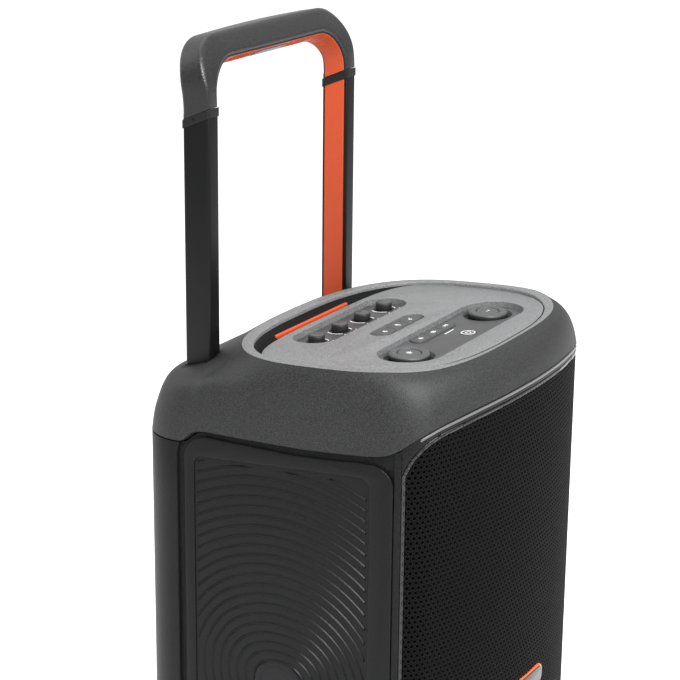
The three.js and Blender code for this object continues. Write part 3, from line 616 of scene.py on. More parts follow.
def level_knobs():
    """Dark sides, a lighter face with a notch, a black ring of painted shade round each and a printed scale.
    """
    floor = below(POCKETS[0][3] - PAD_RISE)
    r, h = KNOB_R, KNOB_H
    for k, x in enumerate(KNOB_XS):
        name, place = f"level_knob_{k + 1}", (x, KNOB_Y, KNOB_TOP)
        profile = [(0, -h), (r - 0.3, -h), (r, -h + 0.5), (r, -1.3), (r - 0.45, -0.55), (r - 1.1, -0.3),
                   (0, -0.3)]
        skirt = revolve(f"{name}_body", profile, place, sides=96)
        dress(skirt, KNOB_SIDE, name, [name], 40)
        profile = [(0, -1.2), (r - 1.2, -1.2), (r - 1.2, -0.25), (r - 1.5, 0), (0, 0)]
        face = revolve(f"{name}_face", profile, place, sides=96)
        cut(face, [prism("notch", rounded(0.5, 3.4, 0.3, x, KNOB_Y + 4.6), KNOB_TOP - 0.5, KNOB_TOP + 1)])
        dress(face, KNOB, name, sharp=40)
        # painted shade: a black ring on the pocket floor stands in for the shade in the gap round the knob
        marks(f"knob_painted_shade_{k + 1}", ring_strokes(0, 0, 8.9, 1.8), x, KNOB_Y, floor, BLACK)
        scale = [bow(0, 0, 11.2, start, start + 88, 0.9) for start in (-44, 136)]
        scale += [bow(0, 0, 15.0, start, start + 4, 1.0, 2) for start in (-52, 228)]
        marks(f"knob_scale_{k + 1}", scale, x, KNOB_Y, floor, WHITE)


def dials():
    """Each large dial in its well, over a black disc of painted shade: a dark band, a lighter dished face and
    a push button in the middle.
    """
    r, h, low, hole = DIAL_R, DIAL_H, -WELL_DEPTH, DIAL_HOLE
    top = lambda y: DIAL_TOP - 0.68
    for side, sign in ((-1, "light"), (1, "volume")):
        name, place = f"{sign}_dial", (side * DIAL_X, DIAL_Y, DIAL_TOP)
        # painted shade: a black disc on the well's floor darkens the gap round the dial
        profile = [(0, low), (WELL_R - 0.1, low), (WELL_R - 0.1, low + 0.5), (0, low + 0.5)]
        dress(revolve(f"{name}_well", profile, place), BLACK, sharp=40)
        profile = [(hole, -h), (r - 0.4, -h), (r, -h + 0.5), (r, -1.9), (r - 0.25, -1.55), (hole, -1.55)]
        band = revolve(f"{name}_band", profile, place, sides=120)
        dress(band, KNOB_SIDE, name, [name], 40)
        profile = [(11.0, -1.7), (r - 0.3, -1.7), (r - 0.35, -1.3), (r - 1.1, -0.5), (r - 2.2, -0.12),
                   (r - 3.6, 0), (12.2, -0.1), (11.3, -0.35), (11.0, -0.8)]
        dress(revolve(f"{name}_face", profile, place, sides=120), KNOB, name, sharp=50)
        profile = [(0, -h + 2), (PUSH_R, -h + 2), (PUSH_R, -1.2), (PUSH_R - 0.3, -0.75), (PUSH_R - 1, -0.5),
                   (6, -0.62), (0, -0.7)]
        button = revolve(f"{name}_push", profile, place, sides=96)
        dress(button, KNOB, f"{name}_button", [f"{name}_button"], 50)
        marks(f"{name}_sign", SIGNS[sign], place[0], DIAL_Y, top, WHITE, f"{name}_button")


def button_row(names, y, half_y, depth, bar_depth, bar_half_x, bar_half_y):
    """A bar on the deck with three buttons through it; depths are below the deck's surface."""
    outline = rounded(bar_half_x, bar_half_y, bar_half_y - 0.1, 0, y, 12)
    base = prism(f"{names[0]}_bar", outline, below(bar_depth + 2.2), below(bar_depth))
    holes = [rounded(BUTTON_HALF + 0.3, half_y + 0.3, 4.6, x, y) for x in BUTTON_XS]
    cut(base, [prism("hole", hole, CUT_LOW, CUT_HIGH) for hole in holes])
    finish_solid(base, 0.45)
    dress(base, POCKET)
    for name, x in zip(names, BUTTON_XS):
        body = f"{name}_button"
        key = prism(f"{name}_key", rounded(BUTTON_HALF, half_y, 4.3, x, y), below(depth + 1.9), below(depth))
        finish_solid(key, 0.35, 2)
        dress(key, POCKET, body, [body])
        marks(f"{name}_sign", SIGNS[name], x, y, below(depth), WHITE, body)


def buttons():
    button_row(("voice", "echo", "guitar"), REAR_ROW_Y, 7.0, 0.2, 0.35, 37.6, 8.8)
    button_row(("bass", "link", "play"), FRONT_ROW_Y, 5.6, 3.0, 3.2, 35.0, 7.2)
    depth = 3.9
    key = prism("power_key", stadium(7.0, 7.0, POWER_Y, POWER_X), below(depth + 1.9), below(depth))
    finish_solid(key, 0.4)
    dress(key, POCKET, "power_button", ["power_button"])
    power_sign = SIGNS["power"] + ring_strokes(0, 0, 6.1, 0.9)
    marks("power_sign", power_sign, POWER_X, POWER_Y, below(depth), WHITE, "power_button")
    marks("charge_line", [rounded(8.4, 0.45, 0.4)], 9.2, -68.3, below(POCKETS[1][3] - PAD_RISE), WHITE)


def slot_liner(steps=22):
    """The black ribbed back wall of the tablet slot, between the plate and the rim."""
    rings = [[(x, y, deck_z(y) - depth) for x, y in PLATE] for depth in (SLOT_FLOOR, 8.2)]
    for k in range(steps + 1):
        t = k / steps
        rise = 8.2 * (1 - smooth(t, 0.25, 1.0)) + 0.4 - 0.35 * (k % 2) * smooth(t, 0.2, 0.5)
        spots = [(ax + (bx - ax) * t, ay + (by - ay) * t) for (ax, ay), (bx, by) in zip(PLATE, RIM_INNER)]
        rings.append([(x, y, deck_z(y) - rise) for x, y in spots])
    rings.append([(x, y, deck_z(y) - SLOT_FLOOR) for x, y in RIM_INNER])
    dress(loft("slot_liner", rings, loop=True), SLOT, sharp=60)


def slot_pad():
    pad = prism("slot_cushion", rounded(63, 1.9, 1.8, 0, SLOT_PAD_Y), below(8), below(2.6))
    finish_solid(pad, 0.9)
    dress(pad, ORANGE, replaces=["slot_pad"])


# ---------- handle ----------
GRIP_TOP, GRIP_BAR, GRIP_CORNER, LINING_CORNER, GRIP_DEPTH = HEIGHT + 254.7, 20.0, 40.0, 34.0, 29.0
GRIP_UNDER = GRIP_TOP - GRIP_BAR
INNER_REACH = LEG_X - LEG_W / 2 + 0.2
LEAN_START, LEAN_LENGTH, LEAN_ANGLE = COLLAR_Z + 8, 40.0, radians(19)


def leaned(point):
    """Bends a point of the grip back: an arc over the first stretch, straight above it."""
    x, y, z = point
    height = max(0.0, z - LEAN_START)
    bent = min(height, LEAN_LENGTH)
    turn, radius = LEAN_ANGLE * bent / LEAN_LENGTH, LEAN_LENGTH / LEAN_ANGLE
    back = radius * (1 - cos(turn)) + (height - bent) * sin(LEAN_ANGLE)
    rise = radius * sin(turn) + (height - bent) * cos(LEAN_ANGLE)
    across = y - LEG_Y
    return (x, LEG_Y + back + across * cos(turn), z - height + rise - across * sin(turn))


def lean_back(thing):
    for v in thing.data.vertices:
        v.co = metres(leaned((v.co.x * 1000, v.co.y * 1000 - Y_SHIFT, v.co.z * 1000)))


def grown(z):
    """How far the grip's own section has replaced that of the leg, from 0 at the joint to 1."""
    return smooth(z, COLLAR_Z + 10, COLLAR_Z + 50)


def underside_drop(z, v):
    """How much thicker the grip is underneath, more towards the rear, growing in above the joint."""
    return (3.8 + 2.4 * v / (GRIP_DEPTH / 2)) * grown(z)


def slant(y):
    """Rise of the slanted joints on the legs over their height at the middle of the leg."""
    return -SHELF_SLOPE * (y - LEG_Y)


def slant_cutter(side, height):
    return prism("slant", leg_outline(side, 8, 3.5), CUT_LOW, lambda y: height + slant(y))


def button_pocket():
    return prism("pocket", rounded(24.4, 7.9, 4.3, 0, LEG_Y), GRIP_UNDER - 14, GRIP_UNDER + 3)


def arch_path(half_x, top, corner, low, steps=20):
    left = arc(-half_x + corner, top - corner, corner, pi, QUARTER, steps)
    right = arc(half_x - corner, top - corner, corner, QUARTER, 0, steps)
    rise = [(-half_x, low + (top - corner - low) * k / 8) for k in range(8)]
    middle = [(-half_x + corner + (half_x - corner) * 2 * k / 16, top) for k in range(1, 16)]
    return rise + left + middle + right + [(-x, z) for x, z in reversed(rise)]


def grip_section(reach, half_v, chamfer):
    """Section of the grip: the front face slants back towards the outside and ends in a fine ridge."""
    shaped = []
    for u, v in rounded(reach, half_v, 4.6, steps=6):
        back = chamfer * (u + reach) / (2 * reach) * (half_v - v) / (2 * half_v)
        ridge = 0.5 * exp(-((v + half_v - 2) / 1.6) ** 2) * (u > 0)
        shaped.append((u + ridge, v + back))
    return shaped


def grip():
    low = COLLAR_Z - 6
    outer = arch_path(LEG_X + LEG_W / 2 + 0.4, GRIP_TOP, GRIP_CORNER, low)
    inner = arch_path(INNER_REACH, GRIP_UNDER, LINING_CORNER, low)
    rings = []
    for (ox, oz), (ix, iz) in zip(outer, inner):
        cx, cz, reach = (ox + ix) / 2, (oz + iz) / 2, hypot(ox - ix, oz - iz) / 2
        ux, uz = (ox - ix) / (2 * reach), (oz - iz) / (2 * reach)
        ring = []
        for u, v in grip_section(reach, GRIP_DEPTH / 2 - 0.4, 5.0 * grown(iz)):
            u -= underside_drop(iz, v) * (reach - u) / (2 * reach)
            u += 5.6 * uz**2 * grown(iz) * (u > 0) * (v / GRIP_DEPTH + 0.5)
            ring.append((cx + u * ux, LEG_Y + v, cz + u * uz))
        rings.append(ring)
    shell = loft("grip_body", rings, outwards=True)
    cutters = []
    for side, _ in SIDES:
        well = rounded(LEG_W / 2 - 1.2, LEG_D / 2 + 0.3, 3, side * (LEG_X + 0.3), LEG_Y)
        cutters += [slant_cutter(side, COLLAR_Z + 5.2), prism("well", well, CUT_LOW, COLLAR_Z + 5)]
    cut(shell, cutters + [button_pocket()])
    lean_back(shell)
    dress(shell, GRIP, "handle", ["grip_shell"], 32)


def lining(name, half_y, out, thick):
    """A band along the inside of the arch, standing out of it and cut for the button and the joints."""
    path = arch_path(INNER_REACH, GRIP_UNDER, LINING_CORNER, COLLAR_Z - 4)
    rings = []
    for k, (x, z) in enumerate(path):
        (ax, az), (bx, bz) = path[max(k - 1, 0)], path[min(k + 1, len(path) - 1)]
        length = hypot(bx - ax, bz - az)
        nx, nz = (bz - az) / length, -(bx - ax) / length
        ring = []
        for u, v in rounded(thick, half_y, 0.6, steps=3):
            reach = out - thick + u + underside_drop(z, v)
            ring.append((x + reach * nx, LEG_Y + v, z + reach * nz))
        rings.append(ring)
    band = loft(name, rings, outwards=True)
    cut(band, [button_pocket()] + [slant_cutter(side, COLLAR_Z + 5.6) for side, _ in SIDES])
    lean_back(band)
    return band


def grip_linings():
    band = lining("grip_lining", 10.6, 0.9, 1.3)
    dress(band, ORANGE, "handle", ["grip_insert"], 40)
    edge = lining("grip_lining_edge", 11.7, 0.45, 1.0)
    dress(edge, BLACK, "handle", sharp=40)


def release_key():
    at = lambda y, lift: GRIP_UNDER + lift - underside_drop(GRIP_UNDER, y - LEG_Y)
    outline = rounded(23.6, 7.2, 4.0, 0, LEG_Y)
    key = prism("release_key", outline, lambda y: at(y, -1.6), lambda y: at(y, 1.6))
    finish_solid(key, 0.7)
    lean_back(key)
    dress(key, KNOB, "release", ["release_button"])


def grip_dots():
    """Fine diamonds under the middle of the grip, left out round the release button."""
    reach, point = 0.95, 0.65
    verts, faces = [], []
    for row in range(9):
        for k in range(-28, 29):
            x, y = (k + 0.5 * (row % 2)) * 2.4, LEG_Y + (row - 4) * 2.2
            if abs(x) < 26.5 and abs(y - LEG_Y) < 9:
                continue
            start = len(verts)
            z = GRIP_UNDER - 0.8 - underside_drop(GRIP_UNDER, y - LEG_Y)
            steps = ((-reach, 0, 0), (0, -reach, 0), (reach, 0, 0), (0, reach, 0), (0, 0, -point))
            verts += [leaned((x + dx, y + dy, z + dz)) for dx, dy, dz in steps]
            faces += [(start + 4, start + (i + 1) % 4, start + i) for i in range(4)]
            faces.append((start, start + 1, start + 2, start + 3))
    dots = mesh_object("grip_texture", verts, faces, smooth=False)
    face_outwards(dots)
    dress(dots, ORANGE, "handle")


def legs():
    for side, word in SIDES:
        tube = prism(f"leg_{word}", leg_outline(side, 0, 3.0), HEIGHT - 90, COLLAR_Z + 4)
        inner = side * (LEG_X - LEG_W / 2)
        cut(tube, [prism("groove", rounded(1.5, 11.3, 0.6, inner, LEG_Y), HEIGHT - 95, COLLAR_Z + 10)])
        finish_solid(tube, 0.25, 2, 30)
        dress(tube, METAL, "handle", [f"handle_leg_{word}"])
        outline = rounded(0.85, 10.6, 0.6, inner + side * 0.6, LEG_Y)
        strip = prism(f"orange_strip_{word}", outline, HEIGHT - 88, lambda y: COLLAR_Z + slant(y))
        finish_solid(strip, 0.25, 2, 30)
        dress(strip, ORANGE, "handle", [f"leg_strip_{word}"])
        band = prism(f"collar_{word}", leg_outline(side, 0.9, 3.4), lambda y: COLLAR_Z - 3 + slant(y),
                     lambda y: COLLAR_Z + 4.9 + slant(y))
        finish_solid(band, 0.6)
        dress(band, BLACK, "handle", [f"leg_collar_{word}"])
        profile = [(0, 0), (1.5, 0), (1.5, side * 0.6), (1.1, side * 0.9), (0, side * 0.9)]
        place = (side * (LEG_X + LEG_W / 2 + 0.9), LEG_Y + 2, COLLAR_Z + 0.4)
        dress(revolve(f"collar_pin_{word}", profile, place, "x", 20), METAL, "handle", sharp=40)
        bezel(side, word)


def bezel(side, word):
    """A thin frame let into the cap round the leg."""
    outer = rounded(LEG_W / 2 + 4.6, LEG_D / 2 + 4.8, 5.5, side * LEG_X, LEG_Y)
    inner = leg_outline(side, 1.0, 3.2)
    rings = [[(x, y, cap_surface(x, y) + lift) for x, y in outline]
             for outline, lift in ((inner, -8), (outer, -8), (outer, 0.6), (inner, 0.9))]
    ring = loft(f"leg_bezel_{word}", rings, loop=True)
    finish_solid(ring, 0.5, 2)
    dress(ring, BLACK)


# ---------- grille and light strip ----------
PITCH = 5.25
ROW = PITCH * sqrt(3) / 2
BORDER, HOLE_R = 1.0, 1.6
SHADE_BACKING_DEPTH, SHADE_BACKING_THICK = 4.0, 1.2
CORNER_REACH = 34
CORNER_DROP = ((0, 3, 6.5, 10, 16.5, 23, CORNER_REACH), (17, 12, 8, 5.4, 2.6, 1.2, 0))


def front_path(inset=0.0):
    """Points along the wrapped front with the length so far, from the left edge to the right."""
    corner = arc(-CORNER_X, CORNER_Y, FRONT_CORNER - inset, pi, 3 * QUARTER - ARC_HALF, 60)
    corner = [p for p in corner if p[1] < GRILLE_SIDE_Y]
    front = arc(0, ARC_Y, FRONT_RADIUS - inset, -QUARTER - ARC_HALF, ARC_HALF - QUARTER, 240)
    points = np.array(corner + front[1:-1] + [(-x, y) for x, y in reversed(corner)])
    return points, np.concatenate([[0], np.cumsum(np.hypot(*np.diff(points, axis=0).T))])


def along_front(path, s):
    points, lengths = path
    return np.interp(s, lengths, points[:, 0]), np.interp(s, lengths, points[:, 1])


def on_front(path, s, depth):
    """Position on the wrapped front at length s, moved in by a depth along the inward normal."""
    (x, y), (x0, y0), (x1, y1) = (along_front(path, s + step) for step in (0, -0.5, 0.5))
    dx, dy = x1 - x0, y1 - y0
    size = np.maximum(np.hypot(dx, dy), 1e-6)
    return x - dy / size * depth, y + dx / size * depth


def grille_top(s, path):
    """Upper edge of the grille, with its rounded corners."""
    from_edge = min(s, path[1][-1] - s)
    return seam_z(along_front(path, s)[1]) - 7.6 - float(np.interp(from_edge, *CORNER_DROP))


def punched_ring():
    """Outline of the ring round one hole and of the hole, each with two points on every sixth of a turn."""
    outer, hole = [], []
    for side in range(6):
        middle = pi / 3 * side
        c, s = cos(middle), sin(middle)
        outer += [(c * PITCH / 2 - s * shift, s * PITCH / 2 + c * shift) for shift in (-0.57, 0.57)]
        turns = [middle + radians(shift) for shift in (-12, 12)]
        hole += [(cos(turn) * HOLE_R, sin(turn) * HOLE_R) for turn in turns]
    return np.array(outer), np.array(hole)


def hole_centres(path):
    total, first = path[1][-1], BORDER + PITCH / 2
    centres = []
    for row in range(int((HEIGHT - 60) / ROW)):
        z = GRILLE_LOW_Z + first + row * ROW
        for k in range(int((total - 2 * BORDER) / PITCH)):
            s = first + (k + 0.5 * (row % 2)) * PITCH
            if s <= total - first and z < grille_top(s, path) - BORDER - 1.0:
                centres.append((s, z))
    return np.array(centres)


def front_grille():
    """A punched sheet: each lattice point is a round hole in a ring, with small gaps between the rings."""
    path = front_path(0.6)
    outer, hole = punched_ring()
    centres = hole_centres(path)
    layers = []
    for ring, depth in ((outer, 0.25), (hole, 0.0), (hole * 0.94, 1.1)):
        s, z = (centres[:, None, i] + ring[None, :, i] for i in (0, 1))
        layers.append(np.stack([*on_front(path, s, depth), z], -1))
    verts = np.concatenate(layers, 1).reshape(-1, 3)
    n = len(hole)
    here = np.arange(n)
    there = np.roll(here, -1)
    quads = np.stack([here, there, there + n, here + n], -1)
    starts = np.arange(len(centres)) * n * len(layers)
    faces = (np.concatenate([quads, quads + n])[None] + starts[:, None, None]).reshape(-1, 4)
    sheet = mesh_object("punched_grille", verts.tolist(), faces.tolist())
    dress(sheet, GRILLE, replaces=["front_grille"])
    grille_edge(path)
    # painted shade: a near-black sheet just behind the holes makes them read as the shaded inside of the
    # cabinet
    spots = np.linspace(1, path[1][-1] - 1, 240)
    edges = ([GRILLE_LOW_Z - 1] * len(spots), [grille_top(s, path) + 3 for s in spots])
    wall = [[(*on_front(path, s, SHADE_BACKING_DEPTH), z) for s, z in zip(spots, edge)] for edge in edges]
    back = loft("grille_shade_backing", wall, ends=False, open_ring=True)
    thicken(back, SHADE_BACKING_THICK)
    dress(back, SHADE_BACKING)


def grille_edge(path):
    """The narrow folded edge round the punched sheet."""
    total, corner = path[1][-1], CORNER_REACH
    top = lambda s: grille_top(s, path)
    across = [np.linspace(0, corner, 18)[:-1], np.linspace(corner, total - corner, 160)[:-1]]
    across = np.concatenate(across + [np.linspace(total - corner, total, 18)])
    edge = [(0.0, z) for z in np.linspace(GRILLE_LOW_Z, top(0), 40)[:-1]]
    edge += [(s, top(s)) for s in across]
    edge += [(total, z) for z in np.linspace(top(total), GRILLE_LOW_Z, 40)[1:]]
    edge += [(s, GRILLE_LOW_Z) for s in np.linspace(total, 0, 160)[1:-1]]
    points = np.array(edge)
    along = np.roll(points, -1, 0) - np.roll(points, 1, 0)
    inward = np.stack([along[:, 1], -along[:, 0]], 1) / np.maximum(np.hypot(*along.T), 1e-6)[:, None]
    width = BORDER + 2.2
    rings = []
    for shift, depth in ((0, 3.0), (0, 0.5), (0.5, 0.1), (width - 0.4, 0.1), (width, 0.4), (width, 1.6)):
        rings.append([(*on_front(path, s, depth), z) for s, z in points + inward * shift])
    strip = loft("grille_edge", rings, loop=True, outwards=True)
    dress(strip, GLOSS, sharp=40)


def band_on_front(name, low, high, near, deep, start):
    """A band round the front between two heights, each a function of (s, y); it starts and ends short."""
    path = front_path()
    rings = []
    for s in np.linspace(start, path[1][-1] - start, 300):
        outside, inside = on_front(path, s, near), on_front(path, s, deep)
        base, top = low(s, outside[1]), high(s, outside[1])
        rings.append([(*inside, base), (*outside, base), (*outside, top), (*inside, top)])
    return loft(name, rings, outwards=True)


def front_surround():
    """The strip of cabinet over the grille, its rounded corners included, and the light strip in it."""
    path = front_path()
    low = lambda s, y: grille_top(s, path) + 0.8
    band = band_on_front("front_surround", low, lambda s, y: seam_z(y) - 0.5, 0.5, 5.0, 0.0)
    finish_solid(band, 0.3, 2)
    dress(band, BODY)
    low = lambda s, y: seam_z(y) - 4.0
    glow = band_on_front("glow_strip", low, lambda s, y: seam_z(y) - 1.7, -0.1, 4.0, 15.5)
    finish_solid(glow, 0.5, 2)
    dress(glow, LIGHT, replaces=["light_strip"])


def front_badge():
    """A plain dark pill with a bright edge, standing on the grille."""
    for name, grow, proud, material, slot, replaces in (
            ("badge_rim", 0.0, 1.3, BADGE, "badge_orange", ["front_badge"]),
            ("badge_face", -1.7, 1.75, GLOSS, "black_plastic", None)):
        outline = rounded(37 + grow, 10.5 + grow, 9.5 + grow, steps=14)
        face = lambda x: ARC_Y - sqrt(FRONT_RADIUS**2 - x * x)
        rings = [[(x * k, face(x * k) - y, HEIGHT / 2 + z * k) for x, z in outline]
                 for k, y in ((1, -3), (1, proud - 0.5), (0.992, proud - 0.15), (0.975, proud))]
        pill = loft(name, rings, outwards=True)
        dress(pill, material, replaces=replaces, sharp=50)


# ---------- cabinet sides ----------
RIB_PITCH, RIB_Y, RIB_Z, TOP_RIB, RIB_POINTS = 9.0, 2.0, 358.0, 218.0, 160
PANEL_X, RIB_X, MARK_X, RIB_THICK = 162.6, 164.55, 164.2, 0.8
PAST_SIDE = 170
PANEL_TOP = ((-92, -69.2), (-75, -70.2), (-50, -73.2), (-11, -76.4), (45, -77.4), (80.8, -77.9))
WHEEL_R, WHEEL_W, WHEEL_X, WHEEL_Y, WHEEL_Z = 62.0, 34.0, 124.0, REAR_Y - 2.0, 62.0


def panel_outline():
    front, rear, low = -110.2, 101.6, 63.4
    points = arc(rear - 8, low + 8, 8, -QUARTER, 0, 8)
    points += arc(rear - 21, PLANE_Z - 100, 21, 0, QUARTER, 12)[:-1]
    points += [(y, PLANE_Z + np.interp(y, *zip(*PANEL_TOP))) for y in np.linspace(80.8, -92, 41)]
    points += arc(front + 18, PLANE_Z - 88, 18, QUARTER, pi, 12)[1:]
    return points + arc(front + 8, low + 8, 8, pi, 3 * QUARTER, 8)


def recess_outline(inset=0.0):
    radius, points = 9, []
    corners = ((-88, 80, 1, 1, 2), (91, 80, -1, 1, 3), (91, 562, -1, -1, 0), (-88, 575.5, 1, -1, 1))
    for y, z, sy, sz, turn in corners:
        cy, cz = y + sy * (inset + radius), z + sz * (inset + radius)
        points += arc(cy, cz, radius, turn * QUARTER, (turn + 1) * QUARTER, 8)
    return points


def groove_outline():
    """The pocket in the side that holds the panel, with the open channel behind and above it."""
    front, rear, low = -111.0, 109.0, 62.6
    rise = ((109, -101), (108.4, -95), (106.6, -88), (104, -82), (100, -76), (94, -60), (front, -50))
    return [(front, low)] + arc(rear - 8, low + 8, 8, -QUARTER, 0, 6) + [(y, PLANE_Z + z) for y, z in rise]


def wheel_cutter(side, clearance=5.0):
    reach, half = WHEEL_R + clearance, WHEEL_W / 2 + clearance
    outline = arc(WHEEL_Y, WHEEL_Z, reach, QUARTER, 3 * QUARTER, 40)
    outline += [(WHEEL_Y + 90, WHEEL_Z - reach), (WHEEL_Y + 90, WHEEL_Z + reach)]
    return side_solid("wheel_cut", outline, side, WHEEL_X - half, WHEEL_X + half + 30)


def side_panels():
    for side, word in SIDES:
        plate = side_solid(f"side_frame_{word}", panel_outline(), side, PANEL_X, WIDTH / 2)
        cut(plate, [side_solid("recess", recess_outline(), side, 160, PAST_SIDE), wheel_cutter(side)])
        finish_solid(plate, 1.3, 4)
        dress(plate, SIDE, replaces=[f"side_panel_{word}"])
        ribbed_insert(side, word)
        profile = [(0, -1), (26, -1), (26, 0.9), (24.8, 1.5), (21.5, 1.5), (20.6, 0.6), (0, 0.6)]
        profile = [(radius, side * height) for radius, height in profile]
        disc = revolve(f"side_mark_{word}", profile, (side * MARK_X, RIB_Y, RIB_Z), "x")
        dress(disc, BLACK, sharp=40)


def ribbed_insert(side, word):
    """Ripples round the mark: a fine crest at every pitch, on circles trimmed to the recess."""
    crest = [(-1.2, 0.0), (-0.8, 0.45), (-0.35, 1.15), (0.35, 1.15), (0.8, 0.45), (1.2, 0.0)]
    rings = []
    for radius, height in [(18.0, 0.0)] + [(k * RIB_PITCH + t, h) for k in range(3, 36) for t, h in crest]:
        ring = []
        for i in range(RIB_POINTS):
            t = 2 * pi * i / RIB_POINTS
            lobe = 1 + 0.05 * cos(3 * (t + QUARTER)) * (1 - smooth(radius, 30, 120))
            lift = height if radius < TOP_RIB or t > pi else 0.0
            reach = radius * lobe
            ring.append((side * (RIB_X + lift), RIB_Y + reach * cos(t), RIB_Z + reach * sin(t)))
        rings.append(ring)
    ribs = loft(f"side_ribs_{word}", rings, ends=False)

    def trim(bm):
        for co, no in (((0, -84.5, 0), (0, -1, 0)), ((0, 88, 0), (0, 1, 0)), ((0, 0, 84), (0, 0, -1)),
                       ((0, -84.5, 570), (0, 12 / 172, 1))):
            geom = bm.verts[:] + bm.edges[:] + bm.faces[:]
            bmesh.ops.bisect_plane(bm, geom=geom, plane_co=metres(co), plane_no=no, clear_outer=True)
        bmesh.ops.recalc_face_normals(bm, faces=bm.faces)
        if sum(f.normal.x for f in bm.faces) * side < 0:
            bmesh.ops.reverse_faces(bm, faces=bm.faces)

    edit_mesh(ribs, trim)
    thicken(ribs, RIB_THICK)
    floor = side_solid(f"side_recess_{word}", recess_outline(-1.0), side, 163.0, 164.5)
    for thing, sharp in ((ribs, 18), (floor, 30)):
        cut(thing, [wheel_cutter(side)])
        dress(thing, SIDE, sharp=sharp)


def cabinet_skin(low=26.0):
    top = lambda y: seam_z(y) - 0.9
    rings = [[(x, y, low) for x, y in CABINET_INSIDE]]
    rings += [[(x, y, low + (top(y) - low) * k / 10) for x, y in CABINET] for k in range(11)]
    rings += [[(x, y, top(oy)) for (x, y), (_, oy) in zip(CABINET_INSIDE, CABINET)]]
    skin = loft("cabinet_skin", rings, loop=True)
    cutters = [box_solid((-WIDTH, -DEPTH, 0), (WIDTH, GRILLE_SIDE_Y, CUT_HIGH))]
    cutters += [side_solid("pocket", groove_outline(), side, PANEL_X - 0.3, PAST_SIDE) for side, _ in SIDES]
    cutters.append(box_solid((-150, 120, 0), (150, PAST_REAR, 74)))
    cutters.append(prism("recess", rounded(96, 30, 1, 0, 160), 452, 540))
    cutters.append(prism("door", rounded(70, 20, 1, 0, 165), 150, 300))
    cutters.append(y_rod("port_hole", 34.6, 0, REAR_Y, PORT_Z, 60))
    cut(skin, cutters)
    for side, _ in SIDES:
        cut(skin, [wheel_cutter(side, 4.0)])
    finish_solid(skin, 0.5, 2, 45)
    dress(skin, BODY, replaces=["side_wall_left", "side_wall_right", "rear_wall"])


# ---------- rear, wheels and feet ----------
RECESS_X, RECESS_LOW, RECESS_HIGH, RECESS_FRONT = 95.5, 452.5, 539.5, 132.0
JACK_XS, JACK_Z, JACK_R = (-60.0, -30.0, 30.0), 505.0, 6.5
DOOR_X, DOOR_LOW, DOOR_HIGH = 69, 151, 299
PORT_Z, SPOKE_COUNT, TREAD_BLOCKS = 378.0, 5, 36
FOOT_X, FOOT_Y = 110, -100
PAST_REAR = 170


def rear_fittings():
    panel = box_solid((-RECESS_X, RECESS_FRONT, RECESS_LOW), (RECESS_X, REAR_Y - 1, RECESS_HIGH))
    openings = (((-88, RECESS_FRONT + 7, 459), (88, PAST_REAR, 533)), ((-8, 120, 500), (8, 145, 508)),
                ((44.4, 120, 472.4), (75.6, 145, 496.6)))
    cutters = [box_solid(*corners) for corners in openings]
    cutters += [y_rod("jack_hole", JACK_R, x, RECESS_FRONT, JACK_Z, 40) for x in JACK_XS]
    cut(panel, cutters)
    finish_solid(panel, 0.8)
    dress(panel, BODY, replaces=["rear_panel"])
    for k, x in enumerate(JACK_XS):
        profile = [(4, -9), (4, 1.4), (4.8, 2), (7.4, 2), (8.6, 1), (8.6, 0), (6.2, 0), (6.2, -9)]
        dress(revolve(f"jack_nut_{k + 1}", profile, (x, RECESS_FRONT + 7, JACK_Z), "y"), STEEL, sharp=40)
    contacts = [box_solid((-5.6, 130, 503.2), (5.6, 137.5, 505.0))]
    contacts += [y_rod(f"inlet_pin_{k + 1}", 1.1, x, 134, 484.5, 7, 20) for k, x in enumerate((54.5, 65.5))]
    for contact in contacts:
        finish_solid(contact, 0.3, 2)
        dress(contact, STEEL)
    profile = [(30, -88), (30, -6), (30.8, -1.5), (32.6, 1.8), (35.4, 3.3), (38.4, 3.1), (39.7, 2), (40, 0.7),
               (34, 0.6), (34, -88)]
    port = revolve("port_flare", profile, (0, REAR_Y, PORT_Z), "y", 120)
    dress(port, BLACK, replaces=["bass_port"], sharp=45)


def battery_door():
    door = box_solid((-DOOR_X, REAR_Y - 5, DOOR_LOW), (DOOR_X, REAR_Y - 0.6, DOOR_HIGH))
    cutters = [box_solid((-20, REAR_Y - 3, 280), (20, PAST_REAR, 292))]
    cutters += [box_solid((-60, REAR_Y - 1.4, z), (60, PAST_REAR, z + 1.6)) for z in range(164, 270, 12)]
    cut(door, cutters)
    finish_solid(door, 0.5, 2)
    dress(door, BODY, "battery_door", ["battery_door"])


def tread(radius, height, angle):
    """Cross grooves in the outer face of the tyre, their two rows staggered."""
    phase = (angle * TREAD_BLOCKS / (2 * pi) + (0.5 if height > 0 else 0.0)) % 1
    return radius - 1.5 if radius > WHEEL_R - 1.2 and abs(height) > 2.2 and phase > 0.7 else radius


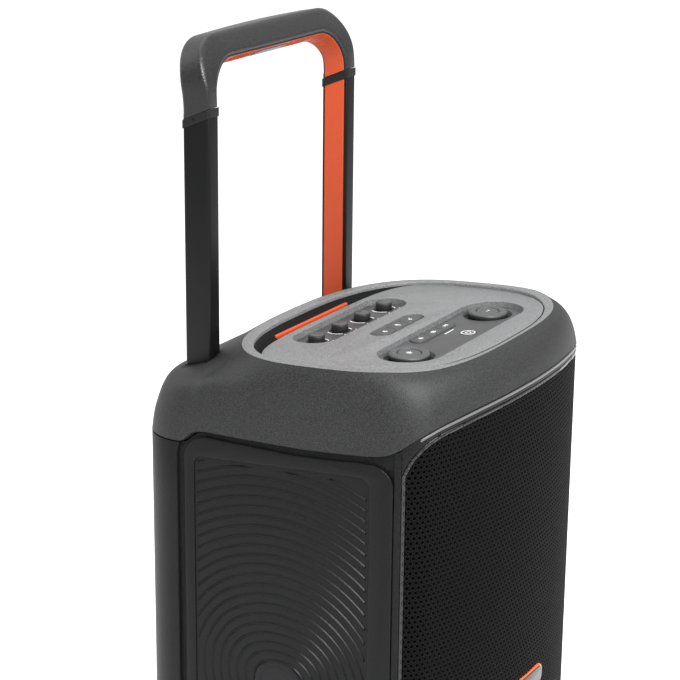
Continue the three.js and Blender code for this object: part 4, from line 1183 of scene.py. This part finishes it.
def wheels():
    r, half = WHEEL_R, WHEEL_W / 2
    shoulder = [(r - 14, half), (r - 7, half), (r - 3, half - 1), (r - 0.8, half - 4), (r, half - 6),
                (r, 2.6), (r - 1.2, 2.2)]
    tyre_profile = [(a, -b) for a, b in shoulder] + shoulder[::-1]
    hub_profile = [(6.3, -half), (r - 14.3, -half), (r - 14.3, half - 0.4), (r - 16, half),
                   (r - 19, half - 0.6), (r - 21, half - 5), (20, half - 8), (16, half - 4),
                   (14.5, half - 0.6), (13.2, half), (6.3, half)]
    for side, word in SIDES:
        body, place = f"wheel_{word}", (side * WHEEL_X, WHEEL_Y, WHEEL_Z)
        tyre = revolve(f"tyre_{word}", tyre_profile, place, "x", 360, tread)
        dress(tyre, TYRE, body, [f"wheel_tyre_{word}"], 35)
        hub = revolve(f"hub_{word}", [(a, side * b) for a, b in hub_profile], place, "x", 120)
        windows = []
        for k in range(SPOKE_COUNT):
            middle = 2 * pi * k / SPOKE_COUNT
            outline = arc(WHEEL_Y, WHEEL_Z, 38, middle - 0.46, middle + 0.46, 12)
            outline += arc(WHEEL_Y, WHEEL_Z, 21, middle + 0.36, middle - 0.36, 8)
            windows.append(side_solid("window", outline, side, WHEEL_X + half - 13, WHEEL_X + half + 4))
        cut(hub, windows)
        finish_solid(hub, 0.6, 2, 50)
        dress(hub, BODY, body, [f"wheel_hub_{word}"])


def feet():
    profile = [(0, 0), (12.5, 0), (14.4, 0.6), (15.6, 2.0), (16, 4), (16, 11.2), (0, 11.2)]
    for side, word in SIDES:
        foot = revolve(f"foot_{word}", profile, (side * FOOT_X, FOOT_Y, 0), sides=72)
        dress(foot, TYRE, replaces=[f"front_foot_{word}"], sharp=45)


INNER_FINISH = {  # start of a CAD node's name: what it is made of
    "woofer_frame": DRIVER, "woofer_cone": PAPER, "tweeter": TWEETER, "guide_tube": SHEET,
    "wheel_axle": SHEET, "amplifier_board": BOARD, "control_board": BOARD, "power_supply": SHEET,
    "battery_pack": WRAP}


def finish_inner_parts():
    """The CAD pieces get a finish by name, and black where none is listed."""
    for name, thing in NODES.items():
        finish = next((mat for start, mat in INNER_FINISH.items() if name.startswith(start)), BLACK)
        for spot in thing.material_slots:
            spot.material = finish


# ---------- run ----------
camera()
SCENE.view_settings.view_transform = "Standard"
studio()
top_cap()
deck_rim()
deck_plate()
pocket_floors()
slot_liner()
slot_pad()
grip()
grip_linings()
grip_dots()
release_key()
legs()
front_grille()
cabinet_skin()
side_panels()
front_surround()
front_badge()
level_knobs()
dials()
buttons()
rear_fittings()
battery_door()
wheels()
feet()
finish_inner_parts()
